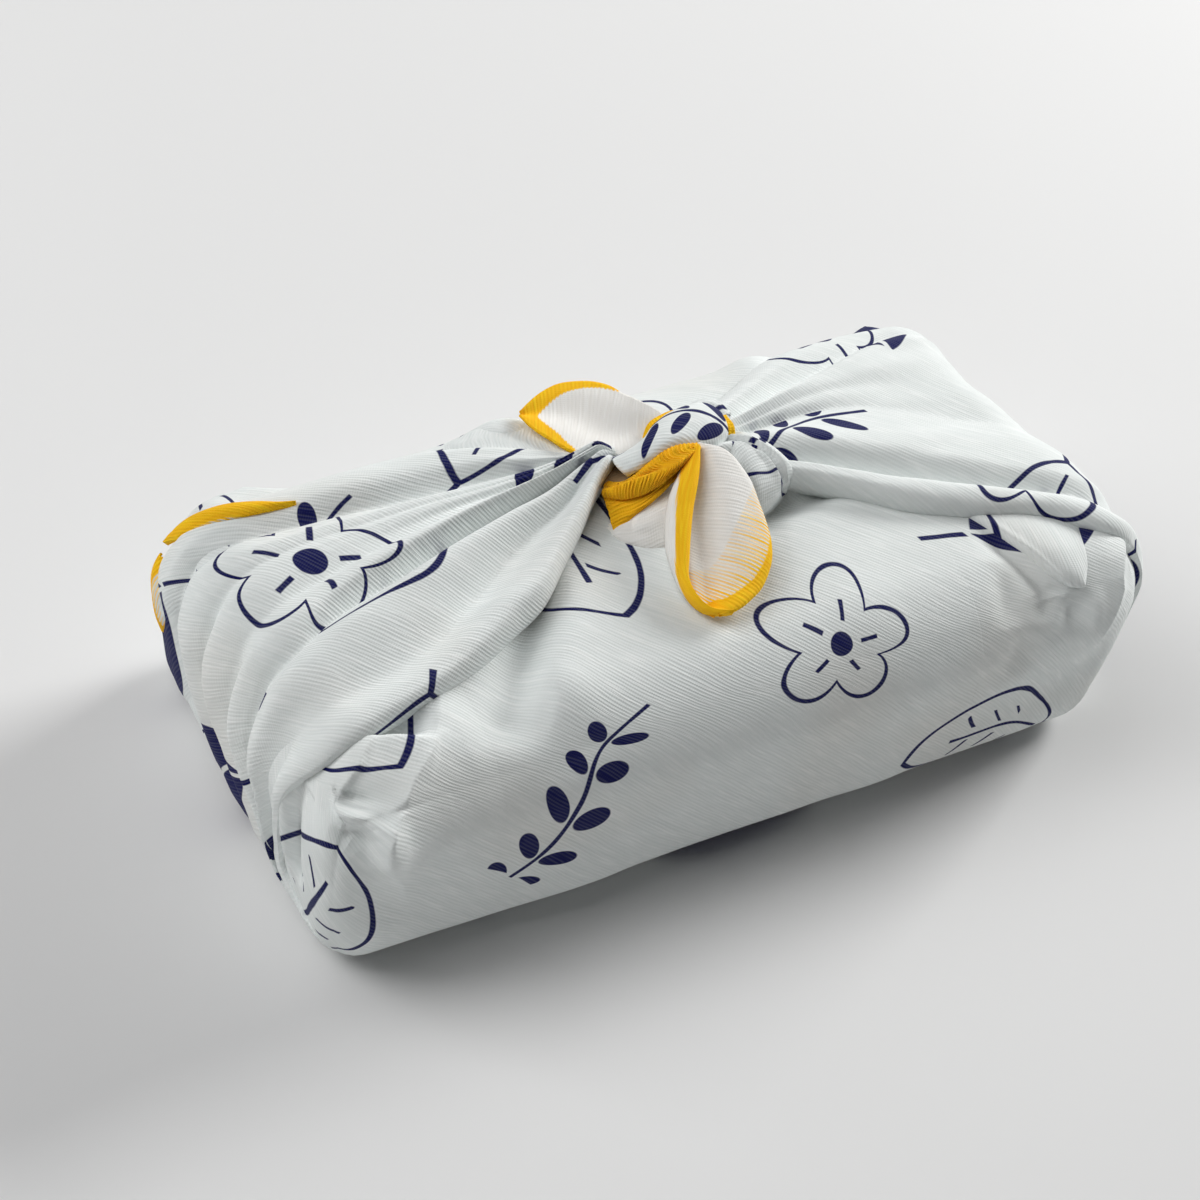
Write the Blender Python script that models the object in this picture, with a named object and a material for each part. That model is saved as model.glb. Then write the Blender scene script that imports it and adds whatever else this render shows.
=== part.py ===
"""A square furoshiki cloth wrapped round a slim box-shaped bundle and tied on top.

The cloth is one piece, so the part is one solid: the near and far flaps laid round
the bundle, the left and right corners gathered over its top, the knot, and the two
free ends.  The bundle lies along X, its front faces -Y, and it rests on z = 0.
Sizes below are in millimetres and MM turns them into Blender's metres.
"""
import math

import bmesh
import bpy
import numpy as np
from mathutils import Vector

MM = 0.001

# Driving sizes of the wrapped bundle
LENGTH = 190.0
WIDTH = 90.0
HEIGHT = 47.0
TOP_ROUND = 15.0            # radius of the upper edges
FOOT_ROUND = 9.5            # radius of the lower edges
CROWN = 5.5                 # how much the top swells at its middle
BELLY = 1.5                 # how much the long sides swell
LEFT_TAPER = 3.0            # how much each end draws in at the floor
RIGHT_TAPER = 9.0
GRID_STEP = 5.2             # spacing of the body's cuts

END = LENGTH / 2
SIDE = WIDTH / 2

# Soft forms pressed through the near flap.  x runs along the bundle (past -END it
# turns onto the left end), w runs up the front from the floor and back over the top.
NEAR_FORMS = (
    # name               x0     w0     x1    w1    height  spread
    ("corner puff",     -96.0,  32.0, -88.0, 14.0,   2.6,    9.0),
    ("pocket ridge",    -90.0,  55.0, -84.0, 33.0,   3.4,    4.5),
    ("pocket hollow",   -80.0,  57.0, -72.0, 61.0,  -3.0,    5.0),
    ("pocket lip",      -78.0,  66.0, -63.0, 69.0,   2.4,    4.0),
    ("side hollow",     -74.0,  48.0, -77.0, 28.0,  -2.0,    6.0),
    ("knot trough",     -32.0,  80.0, -47.0, 62.0,  -2.6,    7.0),
    ("right hollow",     57.0,  58.0,  62.0, 42.0,  -2.4,    6.0),
    ("right tuck",       60.0,  68.0,  70.0, 54.0,   2.6,    5.0),
    ("right corner",     83.0,  54.0,  81.0, 26.0,   2.2,    5.0),
)

# Bunched cloth of the far flap, on the top: x, y, height and spread of each swell
FAR_FORMS = (
    # name             x      y     height  spread
    ("far bunch",    -22.0,  33.0,   5.0,    8.0),
    ("far corner",   -86.0,  38.0,   2.5,    9.0),
)

# A gather is a fan of folds from the knot out to one end.  Stations are distances
# from the middle, along the top and on down the end.  Each fold has its place
# across the bundle (y) and its rise off the cloth below (h) at every station.
LEFT_STATIONS = (8, 25, 50, 88, 108, 138)
LEFT_FOLDS = (
    # name            y at each station                h at each station
    ("near tuck",   (7, -1, -14, -26, -29, -45),     (-3, -3, -3, -3, -3, -3)),
    ("near edge",   (4, -3, -16, -29, -31, -48),     (0.5, 1.5, 1.2, 1.0, 0.8, -1)),
    ("near roll",   (6, 4, -8, -25, -27, -42),       (4.5, 5.8, 5.2, 3.4, 2.4, -1)),
    ("inner dip",   (9, 9, 0, -16, -18, -34),        (3.5, 2.6, 2.0, 1.5, 1.0, -1)),
    ("low ridge",   (10, 11, 4, -11, -12, -27),      (4.2, 3.4, 2.8, 2.0, 1.4, -1)),
    ("sharp dip",   (11, 12.5, 7, -7, -6, -20),      (2.5, 0.8, 0.5, 0.8, 0.8, -1)),
    ("mid ridge",   (12, 15, 11, -1, 2, -10),        (4.5, 4.6, 3.6, 2.2, 1.4, -1)),
    ("mid dip",     (13.5, 17, 14, 4, 8, 0),         (3.5, 2.8, 2.0, 1.2, 0.8, -1)),
    ("high ridge",  (14.5, 19, 17, 10, 14, 10),      (4.6, 5.2, 4.2, 2.4, 1.4, -1)),
    ("far dip",     (15.5, 22, 25.5, 25, 27, 24),    (3.0, 1.8, 1.0, 0.8, 0.8, -1)),
    ("top roll",    (17, 25, 30, 31, 33, 33),        (4.5, 5.8, 5.2, 2.8, 1.6, -1)),
    ("far edge",    (19, 28, 36, 37, 38, 38),        (1.5, 1.5, 1.0, 0.8, 0.6, -1)),
    ("far tuck",    (17, 26, 34, 35, 36, 36),        (-3, -3, -3, -3, -3, -3)),
)
RIGHT_STATIONS = (9, 25, 45, 84, 104, 136)
RIGHT_FOLDS = (
    ("near tuck",   (5, 3, -9, -31, -36, -40),       (-3, -3, -3, -3, -3, -3)),
    ("near edge",   (1, 1, -11.5, -34, -39, -43),    (0.5, 2.2, 1.0, 0.8, 0.8, -1)),
    ("near roll",   (2, 3, -9, -30, -35, -38),       (4.0, 5.8, 4.8, 3.2, 1.8, -1)),
    ("dark dip",    (4, 5.5, -3, -23, -28, -32),     (3.0, 1.0, 0.6, 0.8, 0.8, -1)),
    ("second roll", (5.5, 8, 1, -17, -22, -26),      (5.0, 5.6, 4.8, 3.0, 1.6, -1)),
    ("second top",  (7, 12, 11, -3, -9, -14),        (5.0, 4.8, 4.0, 2.0, 1.2, -1)),
    ("fine dip",    (8, 13.5, 15, 1, -4, -9),        (3.6, 2.0, 2.0, 1.2, 0.8, -1)),
    ("broad sheet", (9, 14.5, 19, 13, 8, 4),         (4.5, 4.2, 3.2, 1.6, 1.0, -1)),
    ("crest",       (10, 16, 23, 30, 28, 26),        (5.0, 5.6, 4.2, 1.6, 1.0, -1)),
    ("crest dip",   (11, 18, 26, 34, 32, 30),        (3.0, 2.2, 1.2, 0.8, 0.6, -1)),
    ("far roll",    (13, 22, 32, 38, 36, 34),        (4.0, 4.4, 3.0, 1.2, 0.8, -1)),
    ("far edge",    (16, 26, 37, 41, 39, 37),        (1.0, 1.2, 1.0, 0.6, 0.4, -1)),
    ("far tuck",    (14, 24, 35, 39, 37, 35),        (-3, -3, -3, -3, -3, -3)),
)
NECK_RISE = 7.0             # how far the gathers climb into the knot
NECK_REACH = 16.0           # distance over which that climb dies away
# Stretches of stations with the steps in each: short steps where the end turns down
GATHER_SPANS = ((5.0, 78.0, 11), (78.0, 108.0, 7), (108.0, 141.0, 4))
GATHER_ACROSS = 32

# The knot: bands of cloth, each a path with the half width and half thickness of
# its section there.  lean turns the section about the path.
BANDS = (
    # name        path (x, y, z)                                        half widths    half thick  lean
    ("wrap",      ((-15, 0, 56), (-8, 5, 62), (1, 10, 65.5), (10, 11, 64), (16, 7, 56)),
     (4.5, 6.0, 7.0, 6.5, 4.5), 2.6, 35.0),
    ("core",      ((-13, 9, 56), (-4, 8, 58), (6, 7, 58), (17, 6, 56)),
     (6.0, 8.5, 8.5, 6.0), 7.0, 0.0),
    ("pouch",     ((-10, 4, 56), (-8, -1, 57), (-7, -6, 54), (-6, -8, 50)),
     (4.0, 7.0, 6.5, 4.0), 3.2, 0.0),
)

# The free ends: leaves of cloth on a path, with the half width at each point.  cup
# raises their edges, and tilt leans them over to one side.
TAILS = (
    # name          path (x, y, z)                                       half widths         cup   tilt
    ("front end",   ((6, 5, 61), (7, -3, 60.5), (5, -11, 58), (0, -20, 55.5), (-6, -27, 54)),
     (4.0, 7.5, 10.5, 9.5, 2.5), 1.6, -8.0),
    ("back end",    ((4, 11, 58), (-1, 18, 58), (-7, 24, 58), (-13, 27.5, 57.5), (-19, 29, 56)),
     (5.0, 7.5, 7.5, 5.5, 1.5), 1.4, 15.0),
)
TAIL_THICK = 1.8


def remove_everything():
    for thing in list(bpy.data.objects):
        bpy.data.objects.remove(thing, do_unlink=True)


def ease(t):
    """Smooth step from 0 to 1."""
    t = min(max(t, 0.0), 1.0)
    return t * t * (3 - 2 * t)


def smooth(stations, values, at):
    """A smooth curve through the values, read at one place."""
    xs = np.asarray(stations, float)
    ys = np.asarray(values, float)
    slopes = np.gradient(ys, xs, axis=0)
    at = min(max(at, xs[0]), xs[-1])
    i = min(int(np.searchsorted(xs, at, side="right")) - 1, len(xs) - 2)
    gap = xs[i + 1] - xs[i]
    t = (at - xs[i]) / gap
    start = (2 * t**3 - 3 * t**2 + 1) * ys[i] + (t**3 - 2 * t**2 + t) * gap * slopes[i]
    end = (3 * t**2 - 2 * t**3) * ys[i + 1] + (t**3 - t**2) * gap * slopes[i + 1]
    return start + end


def on_bundle(x, y, z, lift=0.0):
    """The point of the soft rounded bundle nearest to a point of its sharp box."""
    point = np.array((x, y, z), float)
    rounding = FOOT_ROUND + (TOP_ROUND - FOOT_ROUND) * ease(z / HEIGHT)
    low = np.array((-END + rounding, -SIDE + rounding, rounding))
    high = np.array((END - rounding, SIDE - rounding, HEIGHT - rounding))
    core = np.clip(point, low, high)
    away = point - core
    spot = core + away / np.linalg.norm(away) * (rounding + lift)
    along = 1 - min(abs(spot[0]) / END, 1.0) ** 2
    across = 1 - min(abs(spot[1]) / SIDE, 1.0) ** 2
    upper = ease((spot[2] - HEIGHT / 2) / (HEIGHT / 2))
    rise = min(max(spot[2] / HEIGHT, 0.0), 1.0)
    swell = BELLY * math.sin(math.pi * rise) * along
    spot[1] += math.copysign(swell * ease(abs(spot[1]) / SIDE * 2 - 1), spot[1])
    taper = RIGHT_TAPER if spot[0] > 0 else LEFT_TAPER
    inward = taper * (1 - rise) ** 1.5 * ease(abs(spot[0]) / END * 2 - 1)
    spot[0] -= math.copysign(inward, spot[0])
    spot[2] += CROWN * along * across * upper
    return spot


def near_sheet_place(x, y, z):
    """Where a point of the sharp box lies on the unrolled near flap."""
    if z >= HEIGHT - 0.01:
        return x, HEIGHT + y + SIDE
    if y <= -SIDE + 0.01:
        return x, z
    if x <= -END + 0.01:
        return -END - (y + SIDE), z
    return x, 10 * HEIGHT


def bump(u, v, u0, v0, u1, v1, height, spread):
    """A soft ridge along a short line."""
    du, dv = u1 - u0, v1 - v0
    t = ((u - u0) * du + (v - v0) * dv) / max(du * du + dv * dv, 1e-9)
    t = min(max(t, 0.0), 1.0)
    off = math.hypot(u - u0 - t * du, v - v0 - t * dv)
    return height * math.exp(-(off / spread) ** 2)


def body_relief(x, y, z):
    """How far the flaps stand off the plain bundle."""
    u, w = near_sheet_place(x, y, z)
    relief = sum(bump(u, w, *row[1:]) for row in NEAR_FORMS)
    if z >= HEIGHT - 0.01:
        for _, fx, fy, height, spread in FAR_FORMS:
            relief += bump(x, y, fx, fy, fx, fy, height, spread)
    return relief * ease(z / FOOT_ROUND)


def new_object(name, bm, collection):
    mesh = bpy.data.meshes.new(name)
    bmesh.ops.recalc_face_normals(bm, faces=bm.faces)
    bm.to_mesh(mesh)
    bm.free()
    thing = bpy.data.objects.new(name, mesh)
    collection.objects.link(thing)
    return thing


def make_body(collection):
    """The flaps round the bundle: a finely cut box, rounded and swelled."""
    bm = bmesh.new()
    bmesh.ops.create_cube(bm, size=1.0)
    bmesh.ops.scale(bm, vec=(LENGTH, WIDTH, HEIGHT), verts=bm.verts)
    bmesh.ops.translate(bm, vec=(0, 0, HEIGHT / 2), verts=bm.verts)
    spans = ((0, -END, END), (1, -SIDE, SIDE), (2, 0.0, HEIGHT))
    for axis, low, high in spans:
        cuts = round((high - low) / GRID_STEP)
        normal = Vector([float(axis == i) for i in range(3)])
        for cut in range(1, cuts):
            # cuts crowd a little towards the edges, where the form turns
            share = cut / cuts
            share -= math.sin(2 * math.pi * share) * 0.05
            spot = normal * (low + (high - low) * share)
            everything = bm.verts[:] + bm.edges[:] + bm.faces[:]
            bmesh.ops.bisect_plane(bm, geom=everything, plane_co=spot, plane_no=normal)
    for vert in bm.verts:
        x, y, z = vert.co
        vert.co = Vector(on_bundle(x, y, z, body_relief(x, y, z))) * MM
    flat = [face for face in bm.faces if max(abs(v.co.z) for v in face.verts) < 1e-7]
    bmesh.ops.dissolve_faces(bm, faces=flat, use_verts=True)
    return new_object("furoshiki_cloth", bm, collection)


def loft(name, rings, collection):
    """A closed solid through matching rings of points in millimetres."""
    bm = bmesh.new()
    rows = [[bm.verts.new(Vector(point) * MM) for point in ring] for ring in rings]
    count = len(rows[0])
    for row, following in zip(rows, rows[1:]):
        for i in range(count):
            j = (i + 1) % count
            bm.faces.new((row[i], row[j], following[j], following[i]))
    bm.faces.new(rows[0])
    bm.faces.new(list(reversed(rows[-1])))
    return new_object(name, bm, collection)


def neck_rise(station):
    """How far a gather has climbed towards the knot."""
    return NECK_RISE * math.exp(-(station / NECK_REACH) ** 2)


def gather_point(side, station, y, lift):
    """A point of a gather: along the top, over the edge and down the end."""
    if station <= END:
        return on_bundle(side * station, y, HEIGHT, lift)
    drop = min(station - END, HEIGHT - 1.0)
    if y < -SIDE:
        return on_bundle(side * (END - (-SIDE - y)), -SIDE, HEIGHT - drop, lift)
    return on_bundle(side * END, y, HEIGHT - drop, lift)


def make_gather(name, side, stations, folds, collection):
    """One corner of the cloth, drawn in from an end of the bundle to the knot."""
    places = [GATHER_SPANS[0][0]]
    for start, stop, steps in GATHER_SPANS:
        places += [start + (stop - start) * (step + 1) / steps for step in range(steps)]
    rings = []
    fold_places = range(len(folds))
    for station in places:
        across = [smooth(stations, fold[1], station) for fold in folds]
        rise = [smooth(stations, fold[2], station) for fold in folds]
        ring = []
        for k in range(GATHER_ACROSS):
            place = k / (GATHER_ACROSS - 1) * (len(folds) - 1)
            y = smooth(fold_places, across, place)
            lift = smooth(fold_places, rise, place) + neck_rise(station)
            ring.append(gather_point(side, station, y, lift))
        for share_back in (0.8, 0.6, 0.4, 0.2):
            y = across[0] + (across[-1] - across[0]) * share_back
            ring.append(gather_point(side, station, y, -4.0))
        rings.append(ring)
    return loft(name, rings, collection)


def frames(path, steps):
    """Points along a smooth path, each with its direction and a level sideways one."""
    path = np.asarray(path, float)
    marks = np.arange(len(path))
    spots = [smooth(marks, path, t) for t in np.linspace(0, len(path) - 1, steps)]
    found = []
    for i, spot in enumerate(spots):
        ahead = spots[min(i + 1, steps - 1)] - spots[max(i - 1, 0)]
        ahead /= np.linalg.norm(ahead)
        sideways = np.cross(ahead, (0, 0, 1.0))
        sideways /= np.linalg.norm(sideways)
        found.append((spot, ahead, sideways, np.cross(sideways, ahead)))
    return found


def make_band(row, collection, steps=9, around=12):
    """A band of the knot, with an oval section."""
    name, path, half_widths, half_thick, lean = row
    marks = range(len(path))
    turn = math.radians(lean)
    rings = []
    for i, (spot, _, sideways, upward) in enumerate(frames(path, steps)):
        half = smooth(marks, half_widths, i / (steps - 1) * (len(path) - 1))
        wide = sideways * math.cos(turn) + upward * math.sin(turn)
        thick = upward * math.cos(turn) - sideways * math.sin(turn)
        angles = [2 * math.pi * k / around for k in range(around)]
        rings.append([spot + wide * half * math.cos(a) + thick * half_thick * math.sin(a)
                      for a in angles])
    return loft(name, rings, collection)


def make_tail(row, collection, steps=12, across=7):
    """A free end: a leaf of cloth, cupped and leaning."""
    name, path, half_widths, cup, tilt = row
    marks = range(len(path))
    turn = math.radians(tilt)
    rings = []
    for i, (spot, _, sideways, upward) in enumerate(frames(path, steps)):
        half = smooth(marks, half_widths, i / (steps - 1) * (len(path) - 1))
        wide = sideways * math.cos(turn) + upward * math.sin(turn)
        shares = np.linspace(-1, 1, across)
        top = [spot + wide * half * s + upward * (cup * s * s + TAIL_THICK / 2) for s in shares]
        under = [point - upward * TAIL_THICK for point in reversed(top)]
        rings.append(top + under)
    return loft(name, rings, collection)


def cloth_material():
    material = bpy.data.materials.new("printed_cotton")
    material.use_nodes = True
    shader = material.node_tree.nodes["Principled BSDF"]
    shader.inputs["Base Color"].default_value = (0.74, 0.78, 0.77, 1.0)
    shader.inputs["Roughness"].default_value = 0.85
    shader.inputs["Metallic"].default_value = 0.0
    return material


def join_into(body, pieces):
    """Fuse the pieces into the body, since the cloth is one piece."""
    for piece in pieces:
        piece.hide_render = True
        piece.display_type = "WIRE"
        fuse = body.modifiers.new("fuse " + piece.name, "BOOLEAN")
        fuse.operation = "UNION"
        fuse.solver = "EXACT"
        fuse.use_self = True
        fuse.object = piece


def main():
    remove_everything()
    cloth = bpy.data.collections.new("furoshiki_wrap")
    guides = bpy.data.collections.new("forms_fused_into_the_cloth")
    bpy.context.scene.collection.children.link(cloth)
    bpy.context.scene.collection.children.link(guides)
    body = make_body(cloth)
    body.data.materials.append(cloth_material())
    pieces = [make_gather("left gather", -1, LEFT_STATIONS, LEFT_FOLDS, guides),
              make_gather("right gather", 1, RIGHT_STATIONS, RIGHT_FOLDS, guides)]
    pieces += [make_band(row, guides) for row in BANDS]
    pieces += [make_tail(row, guides) for row in TAILS]
    join_into(body, pieces)
    body.data.shade_smooth()


main()
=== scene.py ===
"""The looks of a furoshiki wrap: printed slub cotton round a slim bundle, tied on top.

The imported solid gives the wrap's true form and place.  The cloth here is thin sheets on
that same form: the flaps round the bundle, the two gathered corners, the layers of the
knot and the free ends with their yellow hems.  Sizes are in millimetres unless they
are named otherwise, and MM turns them into metres.
"""
import math

import bmesh
import bpy
import numpy as np
from mathutils import Matrix, Vector


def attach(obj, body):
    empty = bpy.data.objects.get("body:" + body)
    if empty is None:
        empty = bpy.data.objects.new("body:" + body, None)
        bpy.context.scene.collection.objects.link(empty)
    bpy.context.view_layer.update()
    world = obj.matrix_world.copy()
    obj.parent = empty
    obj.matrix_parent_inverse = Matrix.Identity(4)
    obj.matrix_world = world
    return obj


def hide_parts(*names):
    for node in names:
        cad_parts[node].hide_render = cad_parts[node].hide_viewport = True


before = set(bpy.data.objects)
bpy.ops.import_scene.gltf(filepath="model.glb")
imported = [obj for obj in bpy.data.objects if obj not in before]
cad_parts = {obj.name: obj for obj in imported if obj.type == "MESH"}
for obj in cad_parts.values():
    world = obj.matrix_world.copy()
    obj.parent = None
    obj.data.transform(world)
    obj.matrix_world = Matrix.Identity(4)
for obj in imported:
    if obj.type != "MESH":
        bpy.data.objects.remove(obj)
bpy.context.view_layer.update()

MM = 0.001

# The wrapped bundle, as in the part's source
LENGTH, WIDTH, HEIGHT = 190.0, 90.0, 47.0
END, SIDE = LENGTH / 2, WIDTH / 2
TOP_ROUND, FOOT_ROUND = 15.0, 9.5
CROWN, BELLY = 5.5, 1.5
LEFT_TAPER, RIGHT_TAPER = 3.0, 9.0
BACK_PULL = 7.0             # how far the right end is drawn in at the back
BODY_CUTS = (160, 74, 46)   # faces of the flaps' mesh along each side
BODY_CROWDING = (0.36, 0.30)   # how much closer they are at the left and the front
CLOTH_THICK = 0.45
ON_FACE = 0.01              # this near to a face of the sharp box is on it
CORE_DEPTH, CORE_FOOT = 15.0, 12.0      # the core that the faces look away from
PULL_FROM, PULL_OVER = -15.0, 35.0      # where across the end the back pull sets in
FLAPS_MEET = 12.0           # the far flap begins here on the top
OPENING_HALF, OPENING_NEAR, OPENING_FAR = 12.0, 5.0, 16.0   # under the knot
NO_HEM = 100.0              # an edge distance with no hem near
TENSION_REACH = 60.0        # how far from the knot the gathers are pulled tight
LONG_UNEVEN, FINE_UNEVEN = 0.45, 0.30   # heights of the gathers' unevenness
BAND_ENDS, BAND_SWELL = (0.08, 0.92), 0.4   # how a band swells towards its middle

# The photograph's view: where the camera stands round the bundle and how it leans
VIEW_AZIMUTH, VIEW_ELEVATION, VIEW_ROLL = -35.77, 46.04, 10.83
VIEW_DISTANCE = 0.5858      # metres from the origin, along the view
VIEW_RIGHT, VIEW_UP = -0.0088, 0.0183
FOCAL_PIXELS, FRAME_PIXELS = 2772.0, 1200.0
SENSOR = 36.0

# Ridges and troughs of the flaps.  u runs along the bundle and, past -END, turns
# onto the left end; w runs up the front from the floor and back over the top.  A crease
# spreads differently to the right and left of its line, as one follows it, and keen
# creases come to an edge.
FLAP_CREASES = (
    # name, line of (u, w), height, right and left spread, keen
    ("corner puff", ((-98, 38), (-94, 28), (-92, 18)), 3.0, 8.0, 8.0, 2.0),
    ("roll trough", ((-37, 81), (-42, 75.5), (-47.5, 68), (-53, 60)), -3.6, 6.0, 6.0, 2.0),
    ("trough rim", ((-33, 79), (-37, 72.5), (-42, 64)), 2.4, 6.0, 8.0, 2.0),
    ("collar hollow", ((15, 85.5), (20, 87.5), (25, 88.5), (31, 89)), -3.0, 4.0, 3.0, 2.0),
    ("foot swell", ((-40, 13), (30, 12)), 0.9, 9.0, 9.0, 2.0),
    # the far side, which the photo hides, has the same kind of folds
    ("back trough", ((38, 104), (45, 116), (50, 130), (53, 146), (54, 158)),
        (-2.0, -3.0, -3.4, -2.2, 0), 7.0, 6.0, 2.0),
    ("back rim", ((33, 108), (39, 122), (43, 138), (45, 152)), (1.0, 2.2, 2.2, 0), 7.0, 8.0, 2.0),
    ("back fold", ((-48, 122), (-55, 136), (-59, 152), (-60, 164)), (-1.5, -2.8, -2.2, 0), 5.0, 7.0,
        2.0),
    ("back left ridge", ((-66, 124), (-75, 134), (-80, 144), (-82.5, 156), (-82, 168)),
        (0.5, 2.4, 3.0, 2.2, 0), 6.0, 4.0, 1.3),
    ("back right ridge", ((68, 124), (76, 134), (81, 144), (82.5, 156), (82, 168)),
        (0.5, 2.4, 3.0, 2.2, 0), 4.0, 6.0, 1.3),
    ("back foot swell", ((-40, 172), (30, 172)), 0.9, 9.0, 9.0, 2.0),
)
# The same for the two finely folded corners, which are sheets of their own
LEFT_CORNER_CREASES = (
    ("right ridge", ((-61, 74), (-63, 70), (-65.5, 64.5), (-69.5, 58), (-73, 55.5), (-76, 53),
        (-78.5, 49.5), (-80.5, 45.5), (-82.5, 42.5), (-83.5, 39.5), (-83.5, 35), (-82, 31.5),
        (-80.5, 26), (-79, 20)), (0, 0.5, 1.3, 2.1, 2.8, 3.2, 3.4, 3.6, 3.7, 3.7, 3.4, 2.6, 1.4, 0),
        3.2, 7.0, 1.1),
    ("left edge", ((-77.5, 65.2), (-80.5, 62.5), (-82.5, 61), (-83.5, 59.5), (-85.5, 58.5),
        (-87.5, 57.5), (-89.5, 57), (-91, 56)), (0.3, 0.8, 1.0, 1.1, 1.2, 1.2, 1.0, 0.5), 4.0, 0.7,
        1.4),
    ("crest", ((-93.6, 56), (-93.6, 53.2), (-92.8, 50.8), (-91, 49.2), (-88.2, 47.6), (-85.8, 44.8),
        (-84, 41.2), (-83.3, 37.5), (-82.5, 33.5)), (0.6, 1.7, 2.6, 3.0, 3.0, 2.8, 2.2, 1.0, 0),
        2.6, 3.0, 1.6),
    ("lip", ((-79, 64), (-77, 63), (-75, 62), (-71.5, 60), (-69.5, 59), (-68.5, 58.5)),
        (0.6, 1.3, 1.4, 1.2, 0.7, 0), 4.0, 0.7, 1.4),
    ("dark pocket", ((-77.5, 66), (-74, 65.2), (-71, 63.8), (-68.8, 61.8)),
        (-2.0, -3.2, -2.7, -0.8), 1.9, 2.8, 2.0),
    ("hollow", ((-90.6, 57), (-89.4, 54.2), (-87, 52), (-85, 49.5), (-82.8, 46.5)),
        (-1.3, -2.5, -2.3, -1.5, -0.4), 2.4, 3.0, 2.0),
    ("below crest", ((-100, 43), (-96, 43.8), (-91, 42.8), (-87.6, 40), (-85.8, 36), (-85, 31)),
        (0, -1.2, -2.1, -2.3, -1.5, 0), 3.2, 2.4, 2.0),
    ("layer shadow", ((-114.5, 43), (-112.8, 37), (-112, 31), (-112, 25), (-111, 20), (-108.5, 15)),
        (-1.0, -2.6, -3.0, -3.0, -2.4, 0), 0.8, 4.0, 1.4),
    ("inner layer", ((-113.8, 43), (-114.4, 35.5), (-115, 29), (-114.3, 25.5), (-113, 19),
        (-110.5, 14)), (0.6, 1.8, 1.8, 1.8, 1.2, 0), 1.0, 1.0, 1.4),
)
RIGHT_CORNER_CREASES = (
    ("tuck shade", ((56, 69), (59.2, 63.5), (61.8, 58.5), (65, 51), (69, 46.5)),
        (0, -1.2, -1.4, -1.2, 0), 2.6, 1.6, 2.0),
    ("corner", ((89, 60), (87.5, 56), (85, 52), (83.5, 47), (83, 43.5), (81, 39), (79, 34),
        (77.5, 28), (76.5, 23)), (1.4, 2.0, 2.4, 2.5, 2.5, 2.2, 1.6, 0.8, 0), 5.0, 3.0, 1.15),
    ("first trough", ((57, 60), (56.3, 54), (55.5, 48), (55, 42)), (0, -1.2, -1.2, 0), 3.0, 3.0,
        2.0),
    ("second trough", ((63, 50), (63.7, 45), (64, 40)), (0, -1.1, 0), 2.4, 2.4, 2.0),
    ("third trough", ((71, 46), (70.5, 41), (69.5, 36)), (0, -1.2, 0), 2.2, 2.2, 2.0),
    ("pale fold", ((77, 48), (76.5, 42), (75.5, 34), (75, 26)), (0, 0.9, 0.9, 0), 2.6, 2.6, 2.0),
    ("low trough", ((58.5, 41), (59, 35), (60, 28)), (0, -1.3, 0), 3.6, 3.6, 2.0),
)
# The corners' places on the unrolled flap: from and to along u, the lowest w, and the
# highest w at some places along u.  A finer mesh fills them.
LEFT_CORNER = (-117.0, -58.0, 10.0,
               ((-117, 46), (-96, 46.8), (-93.5, 58), (-90, 64), (-80, 70), (-58, 78)))
RIGHT_CORNER = (46.0, 98.0, 18.0, ((46, 79), (73, 71), (87, 63), (91, 58), (94.5, 47), (98, 46)))
CORNER_STEP, CORNER_SEAM = 0.45, 3.0
CORNER_SUNK, CORNER_PROUD = 0.05, 0.06

# Bunched cloth of the far flap on the top: x, y, height and spread of each swell
FAR_SWELLS = (
    ("far bunch", -22.0, 33.0, 5.0, 8.0), ("far corner", -86.0, 38.0, 2.5, 9.0),
)

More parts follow.
